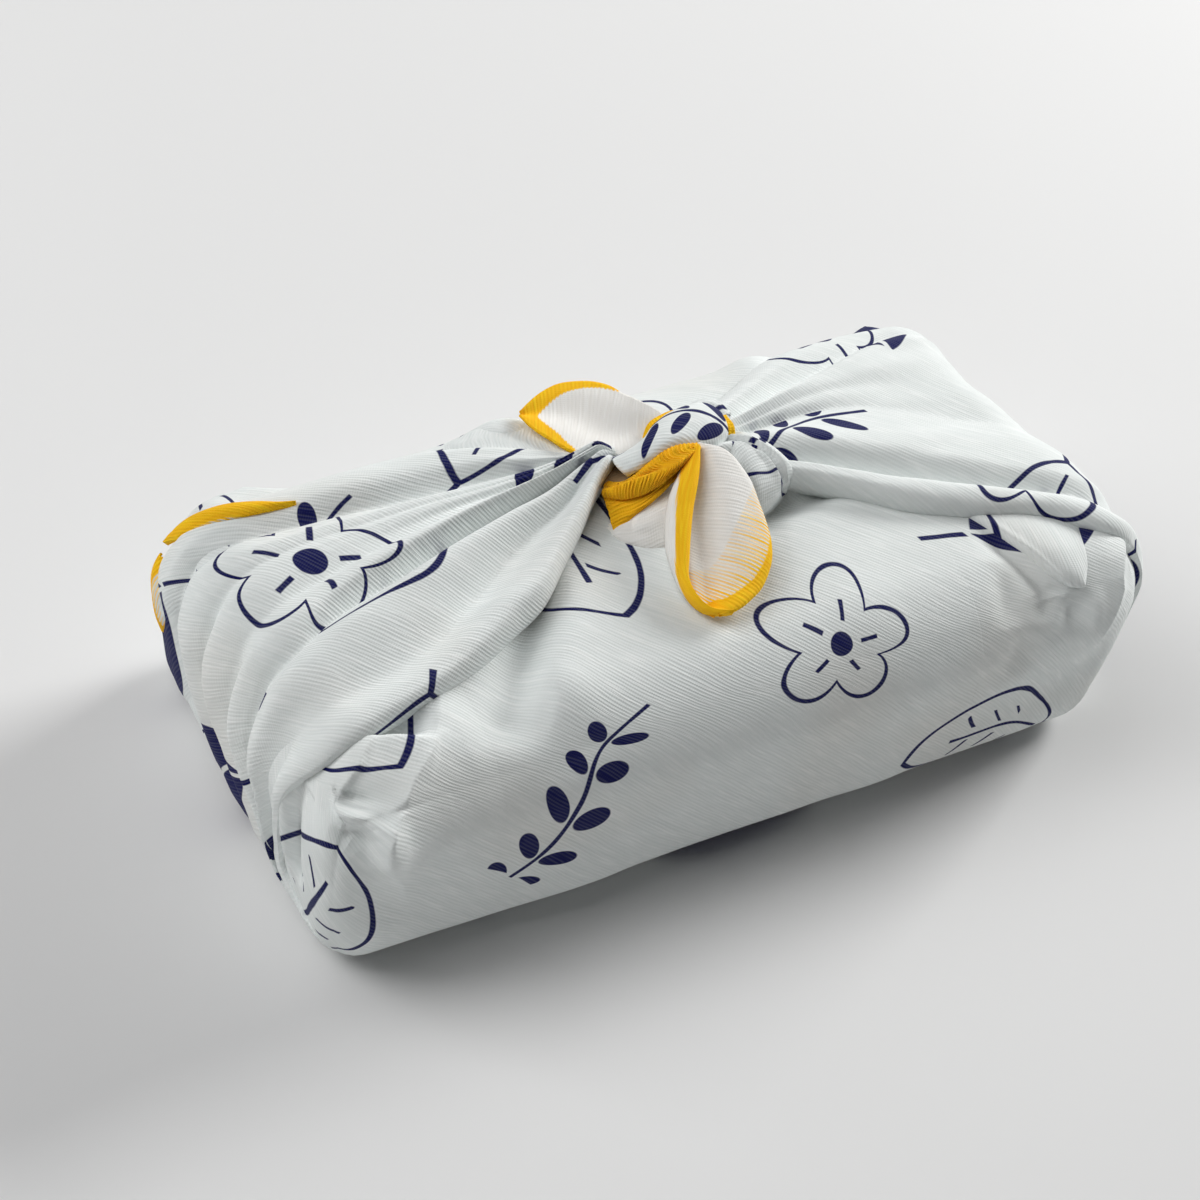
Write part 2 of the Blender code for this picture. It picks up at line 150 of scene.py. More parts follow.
# The gathers.  Each fold has its kind, how sharp it is, and at some distances from the
# middle its place across the bundle and its rise: (distance, across, rise).
LEFT_FOLDS = (
    ("tuck", 0, ((8, 15, -3), (14, 10.5, -3), (22, 2.5, -3), (29, -4, -3), (36, -10, -3),
        (44, -14, -3), (54, -19, -3), (74, -24.5, -3), (88, -26.5, -3), (106, -24, -3),
        (124, -21.5, -3), (131, -23.5, -3), (134, -29, -3), (137, -38, -3), (141, -45, -3),
        (150, -47, -3))),
    ("edge", 0, ((8, 13, 0.8), (14, 8.3, 1.2), (22, 0.4, 1.5), (29, -6, 1.5), (36, -12.3, 1.4),
        (44, -16.3, 1.2), (54, -21, 1.1), (74, -26.5, 1), (88, -28.5, 1), (106, -26, 0.8),
        (124, -23.5, 0.6), (131, -25.5, 0.2), (134, -31, 0), (137, -40, -0.2), (141, -47, -0.5),
        (150, -49, -1))),
    ("ridge", 0, ((8, 14, 4), (14, 9.8, 5.2), (22, 2.8, 5.8), (29, -3, 6), (36, -8.8, 6),
        (44, -13, 5.8), (54, -18, 5.2), (74, -23.6, 4), (88, -25.6, 3), (106, -24.1, 2),
        (124, -22, 1), (131, -23, 0.8), (134, -28, 0.6), (137, -36, 0.4), (141, -43, 0.2),
        (150, -45, 0))),
    ("dip", 0.2, ((8, 14.5, 3.6), (14, 12, 2.8), (23, 7, 1.7), (29, 4.5, 1.3), (37, 0.5, 1.2),
        (44, -4, 1.2), (51, -8.5, 1.3), (58, -13, 1.5), (66, -15.8, 1.6), (76, -17.5, 1.3),
        (84, -18.8, 1), (94, -19.4, 0.1), (104, -20, -0.2), (117, -20.6, -0.4), (124, -21.3, -0.5),
        (131, -22, -0.6), (134, -26, 0), (137, -33, 0), (141, -40, 0), (150, -42, 0))),
    ("ridge", 0, ((8, 14.8, 4), (14, 13.4, 3.9), (25, 9.3, 5.0), (34, 7.3, 5.6), (44, 4.3, 6.2),
        (52, 1.8, 6.2), (62, -1.8, 5.6), (74, -5.8, 4.8), (83, -9.5, 3.4), (92, -12, 4.1),
        (102, -14.5, 3.5), (110, -16.6, 3.2), (116, -18.2, 2.7), (124, -20.2, 2.2),
        (131, -21.5, 1.4), (134, -25, 0.6), (137, -31, 0.4), (141, -37, 0.2), (150, -39, 0))),
    ("dip", 0.9, ((8, 15, 3), (15, 14.6, 1.6), (22, 13, 0.9), (32, 11, 0.5), (42, 8.6, 0.3),
        (53, 5.8, 0.3), (64, 2.9, 0.5), (74, 0, 0.6), (83, -4, 0.6), (92, -6.3, -0.1),
        (102, -9, -0.2), (108, -11.5, -0.4), (114, -14, -0.5), (120, -17, -0.6), (124, -19.2, -0.6),
        (131, -21, -0.8), (134, -24, 0), (137, -29, 0), (141, -34, 0), (150, -36, 0))),
    ("ridge", 0, ((8, 15.5, 4.8), (14, 15.2, 5), (26, 13.4, 5.8), (40, 11.6, 5.8), (50, 9.8, 5.5),
        (64, 7, 4.8), (76, 3.6, 3.9), (88, 0.6, 2.8), (98, -2.4, 3.5), (106, -6, 3.5),
        (112, -9.5, 3.2), (117, -13, 2.7), (124, -17.5, 2.2), (131, -19.5, 1.4), (134, -22, 0.5),
        (137, -26, 0.3), (141, -30, 0.1), (150, -32, 0))),
    ("dip", 0.4, ((8, 16, 4.2), (26, 14.8, 3.4), (50, 12.8, 2.8), (74, 9, 1.8), (88, 5.6, 1.2),
        (100, 1.5, 0.1), (108, -2.5, -0.2), (113, -5.5, -0.3), (116, -7.5, -0.4), (119, -9.5, -0.5),
        (124, -13, -0.6), (129, -16.5, -0.6), (134, -20, 0), (141, -26, 0), (150, -28, 0))),
    ("ridge", 0, ((8, 16.3, 4.3), (26, 16, 4.1), (50, 16.2, 3.8), (74, 15, 3), (88, 13, 2.7),
        (100, 9.5, 3.4), (108, 6, 3.2), (115, 2, 3.1), (120, -2, 2.6), (126, -7.5, 1.9),
        (131, -12, 1.2), (137, -18, 0.4), (150, -24, 0))),
    ("dip", 0.8, ((8, 16.5, 4.1), (26, 17, 3.6), (50, 18.2, 3.2), (74, 18.3, 2.5), (88, 16.8, 1.5),
        (98, 14.2, 0.2), (104, 12, -0.2), (112, 7.8, -0.4), (117, 5.2, -0.5), (122, 3, -0.6),
        (127, 0.8, -0.6), (132, -6, 0), (137, -15, 0), (150, -21, 0))),
    ("ridge", 0, ((8, 16.7, 4.2), (26, 18, 3.9), (50, 20, 3.5), (74, 21, 2.9), (88, 21.5, 2.6),
        (98, 20.5, 3.2), (104, 18.8, 3.2), (113, 15, 3.1), (122, 10.5, 2.4), (132, 3.5, 1.1),
        (139, -6, 0.4), (150, -12, 0))),
    ("dip", 0.85, ((8, 15.9, 3.4), (14, 16.4, 2.8), (22, 18.2, 1.9), (30, 19.7, 1.5),
        (47, 21.5, 1.3), (60, 23.5, 1.3), (74, 24.8, 1.2), (86, 26.2, 0.9), (93, 27.2, 0.1),
        (105, 26, -0.2), (115, 24, -0.4), (135, 17, 0), (150, 14, 0))),
    ("ridge", 0, ((8, 16.2, 2.6), (13, 17, 3), (22, 20.4, 4.6), (29, 23.6, 5.6), (38, 26.5, 5.9),
        (48, 28, 5.5), (58, 28.6, 5), (70, 29.2, 4), (84, 30.5, 2.9), (95, 31, 2.8),
        (105, 30.5, 2.2), (120, 29, 1.4), (135, 27, 0.4), (150, 26, 0))),
    ("edge", 0, ((8, 17.6, -0.5), (13, 18.8, 0), (22, 24.6, 1), (38, 31.5, 1.6), (58, 34.5, 1.3),
        (70, 35.5, 1.1), (84, 37, 0.9), (95, 38, 0.7), (105, 37.5, 0.4), (120, 36.5, 0),
        (135, 36, -0.4), (150, 35, -1))),
    ("tuck", 0, ((8, 16.8, -4), (22, 23, -3), (38, 29.5, -3), (58, 32.5, -3), (84, 35, -3),
        (95, 36, -3), (120, 34.5, -3), (150, 33, -3))),
)
RIGHT_FOLDS = (
    ("tuck", 0, ((9, 5, -3), (25, 1, -3), (38, -7, -3), (45, -12, -3), (56, -17, -3), (73, -23, -3),
        (84, -29.5, -3), (104, -36, -3), (136, -40, -3), (150, -41, -3))),
    ("edge", 0, ((9, 2, 0.5), (25, -1.8, 1.6), (38, -10, 1.2), (45, -15, 1), (56, -20, 1),
        (73, -25.8, 0.9), (84, -32.5, 0.8), (104, -39, 0.8), (136, -43, -0.4), (150, -44, -1))),
    ("ridge", 0, ((9, 3, 3.6), (25, 0.4, 4.8), (38, -7, 5), (45, -11, 4.8), (56, -16, 4.4),
        (73, -22.5, 3.8), (84, -28.5, 3.2), (104, -35, 1.8), (136, -38, 0.6), (150, -38, 0))),
    ("dip", 1, ((9, 4.4, 2.4), (25, 2.8, 0.6), (44, -5.2, 0.2), (62, -13.6, 0.3), (81, -21, 0.6),
        (88, -25, 0.7), (104, -29, 0.6), (136, -32, 0), (150, -32, 0))),
    ("ridge", 0, ((9, 5.5, 5), (25, 8, 5.6), (45, 1, 4.8), (84, -17, 3), (104, -22, 1.8),
        (136, -26, 0.6), (150, -26, 0))),
    ("dip", 0.7, ((9, 8, 3.6), (25, 13.5, 2), (45, 15, 2), (84, 1, 1.2), (104, -4, 0.6),
        (136, -9, 0), (150, -9, 0))),
    ("ridge", 0, ((9, 9, 4.5), (25, 14.5, 4.2), (45, 19, 3.2), (84, 13, 1.8), (104, 8, 1.4),
        (136, 4, 0.6), (150, 4, 0))),
    ("ridge", 0, ((9, 10, 5), (25, 16, 5.6), (45, 23, 4.2), (84, 30, 1.8), (104, 28, 1.2),
        (136, 26, 0.6), (150, 26, 0))),
    ("dip", 0.8, ((9, 11, 3), (25, 18, 2.2), (45, 26, 1.2), (84, 34, 0.8), (104, 32, 0.6),
        (136, 30, 0), (150, 30, 0))),
    ("ridge", 0, ((9, 13, 4), (25, 22, 4.4), (45, 32, 3), (84, 38, 1.6), (104, 36, 1),
        (136, 34, 0.4), (150, 34, 0))),
    ("edge", 0, ((9, 16, 1), (25, 26, 1.2), (45, 37, 1), (84, 41, 0.6), (104, 39, 0.4),
        (136, 37, -0.4), (150, 37, -1))),
    ("tuck", 0, ((9, 14, -3), (25, 24, -3), (45, 35, -3), (84, 39, -3), (104, 37, -3),
        (136, 35, -3), (150, 35, -3))),
)
# The print on the folds between two deep valleys: the first fold, how far the cloth has
# turned there and slid under
LEFT_PANELS = ((0, 0, 0), (5, -9, 22), (11, 14, 40))
RIGHT_PANELS = ((0, -8, 0), (3, 5, 33), (5, -3, -24), (8, 10, 51))
NECK_RISE, NECK_REACH = 7.0, 16.0
TUCKED_UNDER, TUCK_LENGTH = 6.0, 7.0    # how the gathers slip under the knot
STEPS_A_FOLD = 10
GATHER_SPANS = ((5.0, 30.0, 26), (30.0, 84.0, 42), (84.0, 112.0, 30), (112.0, 150.0, 22))


# ---------------------------------------------------------------- shapes of the cloth

def ease(t):
    """Smooth step from 0 to 1."""
    t = np.clip(t, 0.0, 1.0)
    return t * t * (3 - 2 * t)


def smooth(stations, values, at):
    """A smooth curve through the values, read at every place in at."""
    xs, ys = np.asarray(stations, float), np.asarray(values, float)
    slopes = np.gradient(ys, xs, axis=0)
    at = np.clip(at, xs[0], xs[-1])
    i = np.clip(np.searchsorted(xs, at, side="right") - 1, 0, len(xs) - 2)
    gap = xs[i + 1] - xs[i]
    t = (at - xs[i]) / gap
    if ys.ndim == 2:
        gap, t = gap[..., None], t[..., None]
    start = (2 * t**3 - 3 * t**2 + 1) * ys[i] + (t**3 - 2 * t**2 + t) * gap * slopes[i]
    return start + (3 * t**2 - 2 * t**3) * ys[i + 1] + (t**3 - t**2) * gap * slopes[i + 1]


DRIFT_GRID = np.random.default_rng(11).uniform(-1, 1, (64, 64))


def drift(u, v):
    """Soft unevenness, from -1 to 1, that changes over about one unit."""
    i, j = np.floor(u).astype(int), np.floor(v).astype(int)
    a, b = ease(u - i), ease(v - j)
    low = DRIFT_GRID[i % 64, j % 64] * (1 - a) + DRIFT_GRID[(i + 1) % 64, j % 64] * a
    high = DRIFT_GRID[i % 64, (j + 1) % 64] * (1 - a) + DRIFT_GRID[(i + 1) % 64, (j + 1) % 64] * a
    return low * (1 - b) + high * b


def on_bundle(x, y, z, lift):
    """Points of the soft rounded bundle nearest to points of its sharp box."""
    x, y, z, lift = np.broadcast_arrays(x, y, z, lift)
    point = np.stack((x, y, z), -1).astype(float)
    rounding = FOOT_ROUND + (TOP_ROUND - FOOT_ROUND) * ease(z / HEIGHT)
    low = np.stack((rounding - END, rounding - SIDE, rounding), -1)
    high = np.stack((END - rounding, SIDE - rounding, HEIGHT - rounding), -1)
    core = np.clip(point, low, high)
    away = point - core
    away /= np.linalg.norm(away, axis=-1, keepdims=True)
    spot = core + away * (rounding + lift)[..., None]
    along = 1 - np.minimum(abs(spot[..., 0]) / END, 1.0) ** 2
    across = 1 - np.minimum(abs(spot[..., 1]) / SIDE, 1.0) ** 2
    upper = ease((spot[..., 2] - HEIGHT / 2) / (HEIGHT / 2))
    rise = np.clip(spot[..., 2] / HEIGHT, 0.0, 1.0)
    swell = BELLY * np.sin(math.pi * rise) * along
    spot[..., 1] += np.sign(spot[..., 1]) * swell * ease(abs(spot[..., 1]) / SIDE * 2 - 1)
    taper = np.where(spot[..., 0] > 0, RIGHT_TAPER, LEFT_TAPER)
    inward = taper * (1 - rise) ** 1.5 * ease(abs(spot[..., 0]) / END * 2 - 1)
    spot[..., 0] -= np.sign(spot[..., 0]) * inward
    pulled = ease((spot[..., 1] - PULL_FROM) / PULL_OVER)
    spot[..., 0] -= BACK_PULL * ease(spot[..., 0] / END * 2 - 1) * pulled
    spot[..., 2] += CROWN * along * across * upper
    return spot


def box_spot(u, w):
    """The point of the sharp box at a place on the unrolled near flap."""
    if abs(u) > END:
        return (math.copysign(END, u), abs(u) - END - SIDE, w)
    if w > HEIGHT + WIDTH:
        return (u, SIDE, 2 * HEIGHT + WIDTH - w)
    return (u, -SIDE, w) if w <= HEIGHT else (u, w - HEIGHT - SIDE, HEIGHT)


def crease(points, facing, line, height, right_spread, left_spread, keen):
    """A ridge or trough along a line of points of the sharp box.  Its height is one
    number, or several at even steps along the line."""
    nearest, side, reached = np.full(len(points), 1e6), np.zeros(len(points)), np.zeros(len(points))
    spots = [np.array(box_spot(*place)) for place in line]
    for number, (start, end) in enumerate(zip(spots, spots[1:])):
        run, away = end - start, points - start
        t = np.clip(away @ run / (run @ run), 0, 1)
        off = np.linalg.norm(away - t[:, None] * run, axis=1)
        turn = np.einsum("ij,ij->i", np.cross(run, away), facing)
        side = np.where(off < nearest, turn, side)
        reached = np.where(off < nearest, (number + t) / (len(spots) - 1), reached)
        nearest = np.minimum(nearest, off)
    if isinstance(height, tuple):
        height = smooth(np.linspace(0, 1, len(height)), height, reached)
    return height * np.exp(-(nearest / np.where(side > 0, left_spread, right_spread)) ** keen)


def flap_relief(points, more_creases=()):
    """How far the flaps stand off the plain bundle at points of the sharp box."""
    x, y, z = points.T
    core = np.array((END, SIDE, HEIGHT)) - CORE_DEPTH
    facing = points - np.clip(points, (-core[0], -core[1], CORE_FOOT), core)
    relief = sum(crease(points, facing, *row[1:]) for row in FLAP_CREASES + more_creases)
    for _, fx, fy, height, spread in FAR_SWELLS:
        swell = height * np.exp(-((x - fx) ** 2 + (y - fy) ** 2) / spread**2)
        relief += np.where(z >= HEIGHT - ON_FACE, swell, 0)
    relief += 0.7 * drift((x + z) / 31 + 3, (y - z) / 27 + 8)
    relief += 0.35 * drift((x - z) / 11 + 20, (y + z) / 13 + 2)
    return relief * ease(z / FOOT_ROUND)


def from_border(region, u, w):
    """How far inside a corner's region a place is; less than 0 is outside."""
    first, last, low, tops = region
    top = np.interp(u, *zip(*tops))
    return np.minimum(np.minimum(u - first, last - u), np.minimum(w - low, top - w))


# ---------------------------------------------------------------- meshes

def cloth_piece(name, mesh, material, flat, thick=CLOTH_THICK):
    """Finish a sheet: material and thickness.  Its flat size, flat, is not used."""
    piece = bpy.data.objects.new(name, mesh)
    bpy.context.scene.collection.objects.link(piece)
    mesh.materials.append(material)
    mesh.shade_smooth()
    body = piece.modifiers.new("cloth thickness", "SOLIDIFY")
    body.thickness = thick * MM
    body.offset = -1.0
    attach(piece, "root")
    return piece


def points_of(mesh):
    """The vertices of a mesh, a row each."""
    flat = np.zeros(len(mesh.vertices) * 3)
    mesh.vertices.foreach_get("co", flat)
    return flat.reshape(-1, 3)


def corners_of(mesh):
    """The vertex at every corner of every face."""
    corner = np.zeros(len(mesh.loops), int)
    mesh.loops.foreach_get("vertex_index", corner)
    return corner


def add_map(mesh, name, values):
    """Put millimetres on the faces' corners as a UV map."""
    mesh.uv_layers.new(name=name).data.foreach_set("uv", (values * MM).ravel())


def grid_mesh(name, spots, cloth, edge, panel_of_column=None):
    """A mesh over a grid of points, with its place on the flat cloth and its distance
    from the hem's outer edge as UV maps.  cloth is (rows, columns, 2), or one such
    array for each panel with the panel of every column of faces."""
    rows, columns = spots.shape[:2]
    bm = bmesh.new()
    bmesh.ops.create_grid(bm, x_segments=rows - 1, y_segments=columns - 1, size=1.0)
    mesh = bpy.data.meshes.new(name)
    bm.to_mesh(mesh)
    bm.free()
    flat = points_of(mesh)
    i = np.rint((flat[:, 0] + 1) / 2 * (rows - 1)).astype(int)
    j = np.rint((flat[:, 1] + 1) / 2 * (columns - 1)).astype(int)
    mesh.vertices.foreach_set("co", (spots[i, j] * MM).ravel())
    corner = corners_of(mesh)
    ci, cj = i[corner], j[corner]
    if panel_of_column is None:
        uv = cloth[ci, cj]
    else:
        face_column = np.repeat(np.min(cj.reshape(-1, 4), axis=1), 4)
        uv = cloth[panel_of_column[face_column], ci, cj]
    add_map(mesh, "cloth", uv)
    add_map(mesh, "edge", np.stack((edge[ci, cj], edge[ci, cj]), -1))
    mesh.update()
    return mesh


def turned(points, degrees, slide=(0.0, 0.0)):
    """Flat cloth coordinates, turned and moved."""
    c, s = math.cos(math.radians(degrees)), math.sin(math.radians(degrees))
    x, y = points[..., 0], points[..., 1]
    return np.stack((c * x - s * y + slide[0], s * x + c * y + slide[1]), -1)


def face_the_light(mesh, middle):
    """Turn the faces to look away from a point inside the bundle."""
    bm = bmesh.new()
    bm.from_mesh(mesh)
    inside = Vector(middle) * MM
    facing = sum(f.normal.dot(f.calc_center_median() - inside) * f.calc_area() for f in bm.faces)
    if facing < 0:
        bmesh.ops.reverse_faces(bm, faces=bm.faces)
    bm.to_mesh(mesh)
    bm.free()


def make_flaps(material):
    """The near and far flaps round the bundle and the cloth under it."""
    bm = bmesh.new()
    bmesh.ops.create_cube(bm, size=1.0)
    bmesh.ops.scale(bm, vec=(LENGTH, WIDTH, HEIGHT), verts=bm.verts)
    bmesh.ops.translate(bm, vec=(0, 0, HEIGHT / 2), verts=bm.verts)
    for axis, faces in enumerate(BODY_CUTS):
        edges = [e for e in bm.edges if abs(e.verts[0].co[axis] - e.verts[1].co[axis]) > 1e-4]
        bmesh.ops.subdivide_edges(bm, edges=edges, cuts=faces - 1)
    for vert in bm.verts:
        for axis, size in enumerate((LENGTH, WIDTH)):
            along = vert.co[axis] / size + 0.5
            vert.co[axis] = size * (along - BODY_CROWDING[axis] * along * (1 - along) - 0.5)
    # the cloth is open where the knot stands on it
    hidden = [f for f in bm.faces if f.calc_center_median().z > HEIGHT - ON_FACE
              and abs(f.calc_center_median().x) < OPENING_HALF
              and OPENING_NEAR < f.calc_center_median().y < OPENING_FAR]
    # and where the finely folded corners are
    for face in bm.faces:
        x, y, z = face.calc_center_median()
        top = z > HEIGHT - ON_FACE
        if y < 0 and (top or z > ON_FACE):
            u = x if top or y < ON_FACE - SIDE else math.copysign(END + y + SIDE, x)
            w = HEIGHT + y + SIDE if top else z
            inside = max(from_border(region, u, w) for region in (LEFT_CORNER, RIGHT_CORNER))
            if inside > CORNER_SEAM:
                hidden.append(face)
    bmesh.ops.delete(bm, geom=hidden, context="FACES")
    mesh = bpy.data.meshes.new("furoshiki_flaps")
    bm.to_mesh(mesh)
    bm.free()
    sharp = points_of(mesh)
    x, y, z = sharp.T
    spots = on_bundle(x, y, z, flap_relief(sharp))
    mesh.vertices.foreach_set("co", (spots * MM).ravel())
    corner = corners_of(mesh)
    at = sharp[corner]
    middle = np.repeat(at.reshape(-1, 4, 3).mean(1), 4, axis=0)
    mx, my, mz = middle.T
    px, py, pz = at.T
    top, floor = mz > HEIGHT - ON_FACE, mz < ON_FACE
    front, back = my < -SIDE + ON_FACE, my > SIDE - ON_FACE
    left, right = mx < -END + ON_FACE, mx > END - ON_FACE
    # each face is on the near flap or, past the knot, on the far one
    near = np.where(top, my < FLAPS_MEET, my < 0)
    sign = np.where(near, -1.0, 1.0)
    out = np.where(near, py + SIDE, SIDE - py)
    p = np.where(left, -END - out, np.where(right, END + out, px))
    q = np.select([floor, top], [py, sign * (SIDE + HEIGHT + out)], sign * (SIDE + pz))
    add_map(mesh, "cloth", np.stack((p, q), -1))
    add_map(mesh, "edge", np.full((len(corner), 2), NO_HEM))
    mesh.update()
    piece = cloth_piece("furoshiki_flaps", mesh, material, (250, 240))
    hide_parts("furoshiki_cloth")
    return piece


def make_corner(name, region, creases, material):
    """A finely folded part of the near flap, where it goes round a corner."""
    first, last, low, tops = region
    u = np.arange(first, last, CORNER_STEP)
    top = np.interp(u, *zip(*tops))
    share = np.linspace(0, 1, round((top.max() - low) / CORNER_STEP))
    w = low + share[None, :] * (top - low)[:, None]
    u = np.repeat(u[:, None], w.shape[1], 1)
    sharp = np.array([box_spot(*place) for place in zip(u.ravel(), w.ravel())], float)
    folded, plain = flap_relief(sharp, creases), flap_relief(sharp)
    inside = from_border(region, u.ravel(), w.ravel()) / CORNER_SEAM
    proud = (CORNER_SUNK + CORNER_PROUD) * ease(inside / 1.3) - CORNER_SUNK
    lift = plain + (folded - plain) * ease(inside / 2) + proud
    spots = on_bundle(*sharp.T, lift).reshape(*u.shape, 3)
    cloth = np.stack((u, -SIDE - w), -1)
    mesh = grid_mesh(name, spots, cloth, np.full(u.shape, NO_HEM))
    face_the_light(mesh, (math.copysign(50, first + last), 0, 20))
    return cloth_piece(name, mesh, material, flat_size(spread_out(spots)))


def fold_profile(t, sharp):
    """Rise from a dip (0) to a ridge (1): sharp dips are creases, others are soft."""
    return sharp * np.sin(t * math.pi / 2) + (1 - sharp) * ease(t)


def fold_sections(folds, s):
    """Place across and rise of every column of a gather at each distance s."""
    ys, hs = [], []
    for _, _, places in folds:
        stations, across, rise = zip(*places)
        ys.append(smooth(stations, across, s))
        hs.append(smooth(stations, rise, s))
    across, rise = [], []
    last = len(folds) - 2
    for k, (here, there) in enumerate(zip(folds, folds[1:])):
        for step in range(STEPS_A_FOLD + (k == last)):
            t = step / STEPS_A_FOLD
            turn = t * math.pi / 2
            kinds = (here[0], there[0])
            if kinds in (("tuck", "edge"), ("ridge", "edge")):
                ty, th = math.sin(turn), 1 - math.cos(turn)
            elif kinds in (("edge", "tuck"), ("edge", "ridge")):
                ty, th = 1 - math.cos(turn), math.sin(turn)
            elif kinds == ("dip", "ridge"):
                ty, th = t, fold_profile(t, here[1])
            elif kinds == ("ridge", "dip"):
                ty, th = t, fold_profile(1 - t, there[1])
                th = 1 - th
            else:
                ty, th = t, ease(t)
            across.append(ys[k] + (ys[k + 1] - ys[k]) * ty)
            rise.append(hs[k] + (hs[k + 1] - hs[k]) * th)
    return np.stack(across, 1), np.stack(rise, 1)


def gather_spots(side, s, y, lift):
    """Points of a gather: along the top, over the edge, down the end and under it."""
    drop = np.maximum(s - END, 0.0)
    z = np.maximum(HEIGHT - drop, 0.0)
    x = np.minimum(s, END) - np.maximum(drop - HEIGHT, 0.0)
    past = np.maximum(-SIDE - y, 0.0)
    return on_bundle(side * (x - past), np.maximum(y, -SIDE), z, lift)


def make_gather(name, side, folds, panels, material):
    """One corner of the cloth, drawn in from an end of the bundle to the knot."""
    s = np.unique(np.concatenate([np.linspace(a, b, n + 1) for a, b, n in GATHER_SPANS]))
    y, rise = fold_sections(folds, s)
    s2 = np.repeat(s[:, None], y.shape[1], 1)
    column = np.repeat(np.arange(y.shape[1])[None, :], len(s), 0)
    above = np.clip((rise + 3) / 3.5, 0, 1)
    lift = rise + above * NECK_RISE * np.exp(-(s2 / NECK_REACH) ** 2)
    lift -= TUCKED_UNDER * (1 - ease((s2 - s[0]) / TUCK_LENGTH))
    tension = np.exp(-(s2 / TENSION_REACH) ** 2)
    lift += above * LONG_UNEVEN * drift(s2 / 34 + 5 * side, column / 5.0 + 9) * (0.5 + tension)
    lift += above * FINE_UNEVEN * drift(s2 / 15 + 11, y / 4.0 + 30)
    spots = gather_spots(side, s2, y, lift)
    size = spread_out(spots)
    cloth, panel_of_column = [], np.zeros(y.shape[1], int)
    starts = [first * STEPS_A_FOLD for first, _, _ in panels] + [y.shape[1]]
    for number, (_, turn, slide) in enumerate(panels):
        panel_of_column[starts[number]:] = number
        middle = (starts[number] + starts[number + 1]) // 2
        across = size[..., 1] - size[:, middle, 1][:, None] + y[:, middle][:, None]
        flat = np.stack((side * (2 * END + HEIGHT - s2), across), -1)
        cloth.append(turned(flat, turn, (slide, slide * 0.7)))
    edge = np.full(y.shape, NO_HEM)
    mesh = grid_mesh(name, spots, np.stack(cloth), edge, panel_of_column)
    face_the_light(mesh, (side * 50, 0, 20))
    return cloth_piece(name, mesh, material, flat_size(size))


def stood_off(spots, middle, rise):
    """Points moved away from one inside the bundle."""
    out = spots - np.asarray(middle, float)
    out /= np.linalg.norm(out, axis=-1, keepdims=True)
    return spots + out * rise[..., None]


def between(lines, profile, rows, columns, bulge_from):
    """A sheet through lines that run side by side.  profile is (share across, rise)
    pairs: how far the cloth stands off the lines there."""
    t, c = np.linspace(0, 1, rows), np.linspace(0, 1, columns)
    rows_of = [smooth(np.linspace(0, 1, len(line)), line, t).ravel() for line in lines]
    flat = smooth(np.linspace(0, 1, len(lines)), np.stack(rows_of), c)
    flat = flat.reshape(columns, rows, 3).transpose(1, 0, 2)
    shares, rises = zip(*profile)
    swell = np.sin(np.clip(t, *BAND_ENDS) * math.pi)[:, None] ** BAND_SWELL
    rise = smooth(shares, rises, c)[None, :] * swell
    return stood_off(flat, bulge_from, rise)


def edge_distance(spots, outline):
    """Distance of every point from a line of points."""
    line = smooth(np.linspace(0, 1, len(outline)), outline, np.linspace(0, 1, 300))
    return np.linalg.norm(spots[:, :, None] - line[None, None], axis=-1).min(-1)


def spread_out(spots):
    """Place on the flat cloth of a grid of points: lengths along and across it."""
    along = np.linalg.norm(np.diff(spots[:, spots.shape[1] // 2], axis=0), axis=-1)
    along = np.concatenate(((0,), np.cumsum(along)))
    across = np.linalg.norm(np.diff(spots, axis=1), axis=-1)
    across = np.concatenate((np.zeros((len(spots), 1)), np.cumsum(across, 1)), 1)
    across -= across[:, -1:] / 2
    return np.stack((np.repeat(along[:, None], spots.shape[1], 1), across), -1)


def flat_size(size, digits=None):
    """Mean width and length of a sheet that is spread out."""
    wide, long = float(np.ptp(size[..., 1], axis=1).mean()), float(size[-1, 0, 0])
    return round(wide, digits), round(long, digits)


KNOT_MIDDLE = (2.0, 9.0, 50.0)


def arch(height, tuck=-1.0):
    """Profile of a band that bulges in its middle and turns in at its edges."""
    return ((0, tuck), (0.15, height * 0.62), (0.5, height), (0.85, height * 0.62), (1, tuck))


def make_band(name, lines, profile, material, place, hem=None, hem_taper=None, pleats=None,
              rows=44, columns=26, thick=0.5, bulge_from=KNOT_MIDDLE):
    """A layer of the knot or a free end.  place is its turn and slide on the flat
    cloth, hem the line of its hemmed edge, and hem_taper how much narrower the hem is
    at even steps along the band."""
    spots = between(lines, profile, rows, columns, bulge_from)
    if pleats:
        count, depth, skew = pleats
        t, c = np.meshgrid(np.linspace(0, 1, rows), np.linspace(0, 1, columns), indexing="ij")
        wave = np.sin(2 * math.pi * (count * c + skew * t) + 3 * drift(t * 4, c * 3))
        spots = stood_off(spots, bulge_from, depth * wave)
    edge = np.full(spots.shape[:2], NO_HEM)
    if hem == "near":
        edge = edge_distance(spots, spots[:, 0])
    elif hem == "far":
        edge = edge_distance(spots, spots[:, -1])
    elif hem == "round":
        edge = edge_distance(spots, np.concatenate((spots[:, 0], spots[-1], spots[::-1, -1])))
    if hem_taper:
        taper = smooth(np.linspace(0, 1, len(hem_taper)), hem_taper, np.linspace(0, 1, rows))
        edge = edge + taper[:, None]
    turn, slide, across = place
    size = spread_out(spots)
    mesh = grid_mesh(name, spots, turned(size, turn, (slide, across)), edge)
    face_the_light(mesh, bulge_from)
    return cloth_piece(name, mesh, material, flat_size(size, 1), thick=thick)


# ---------------------------------------------------------------- materials

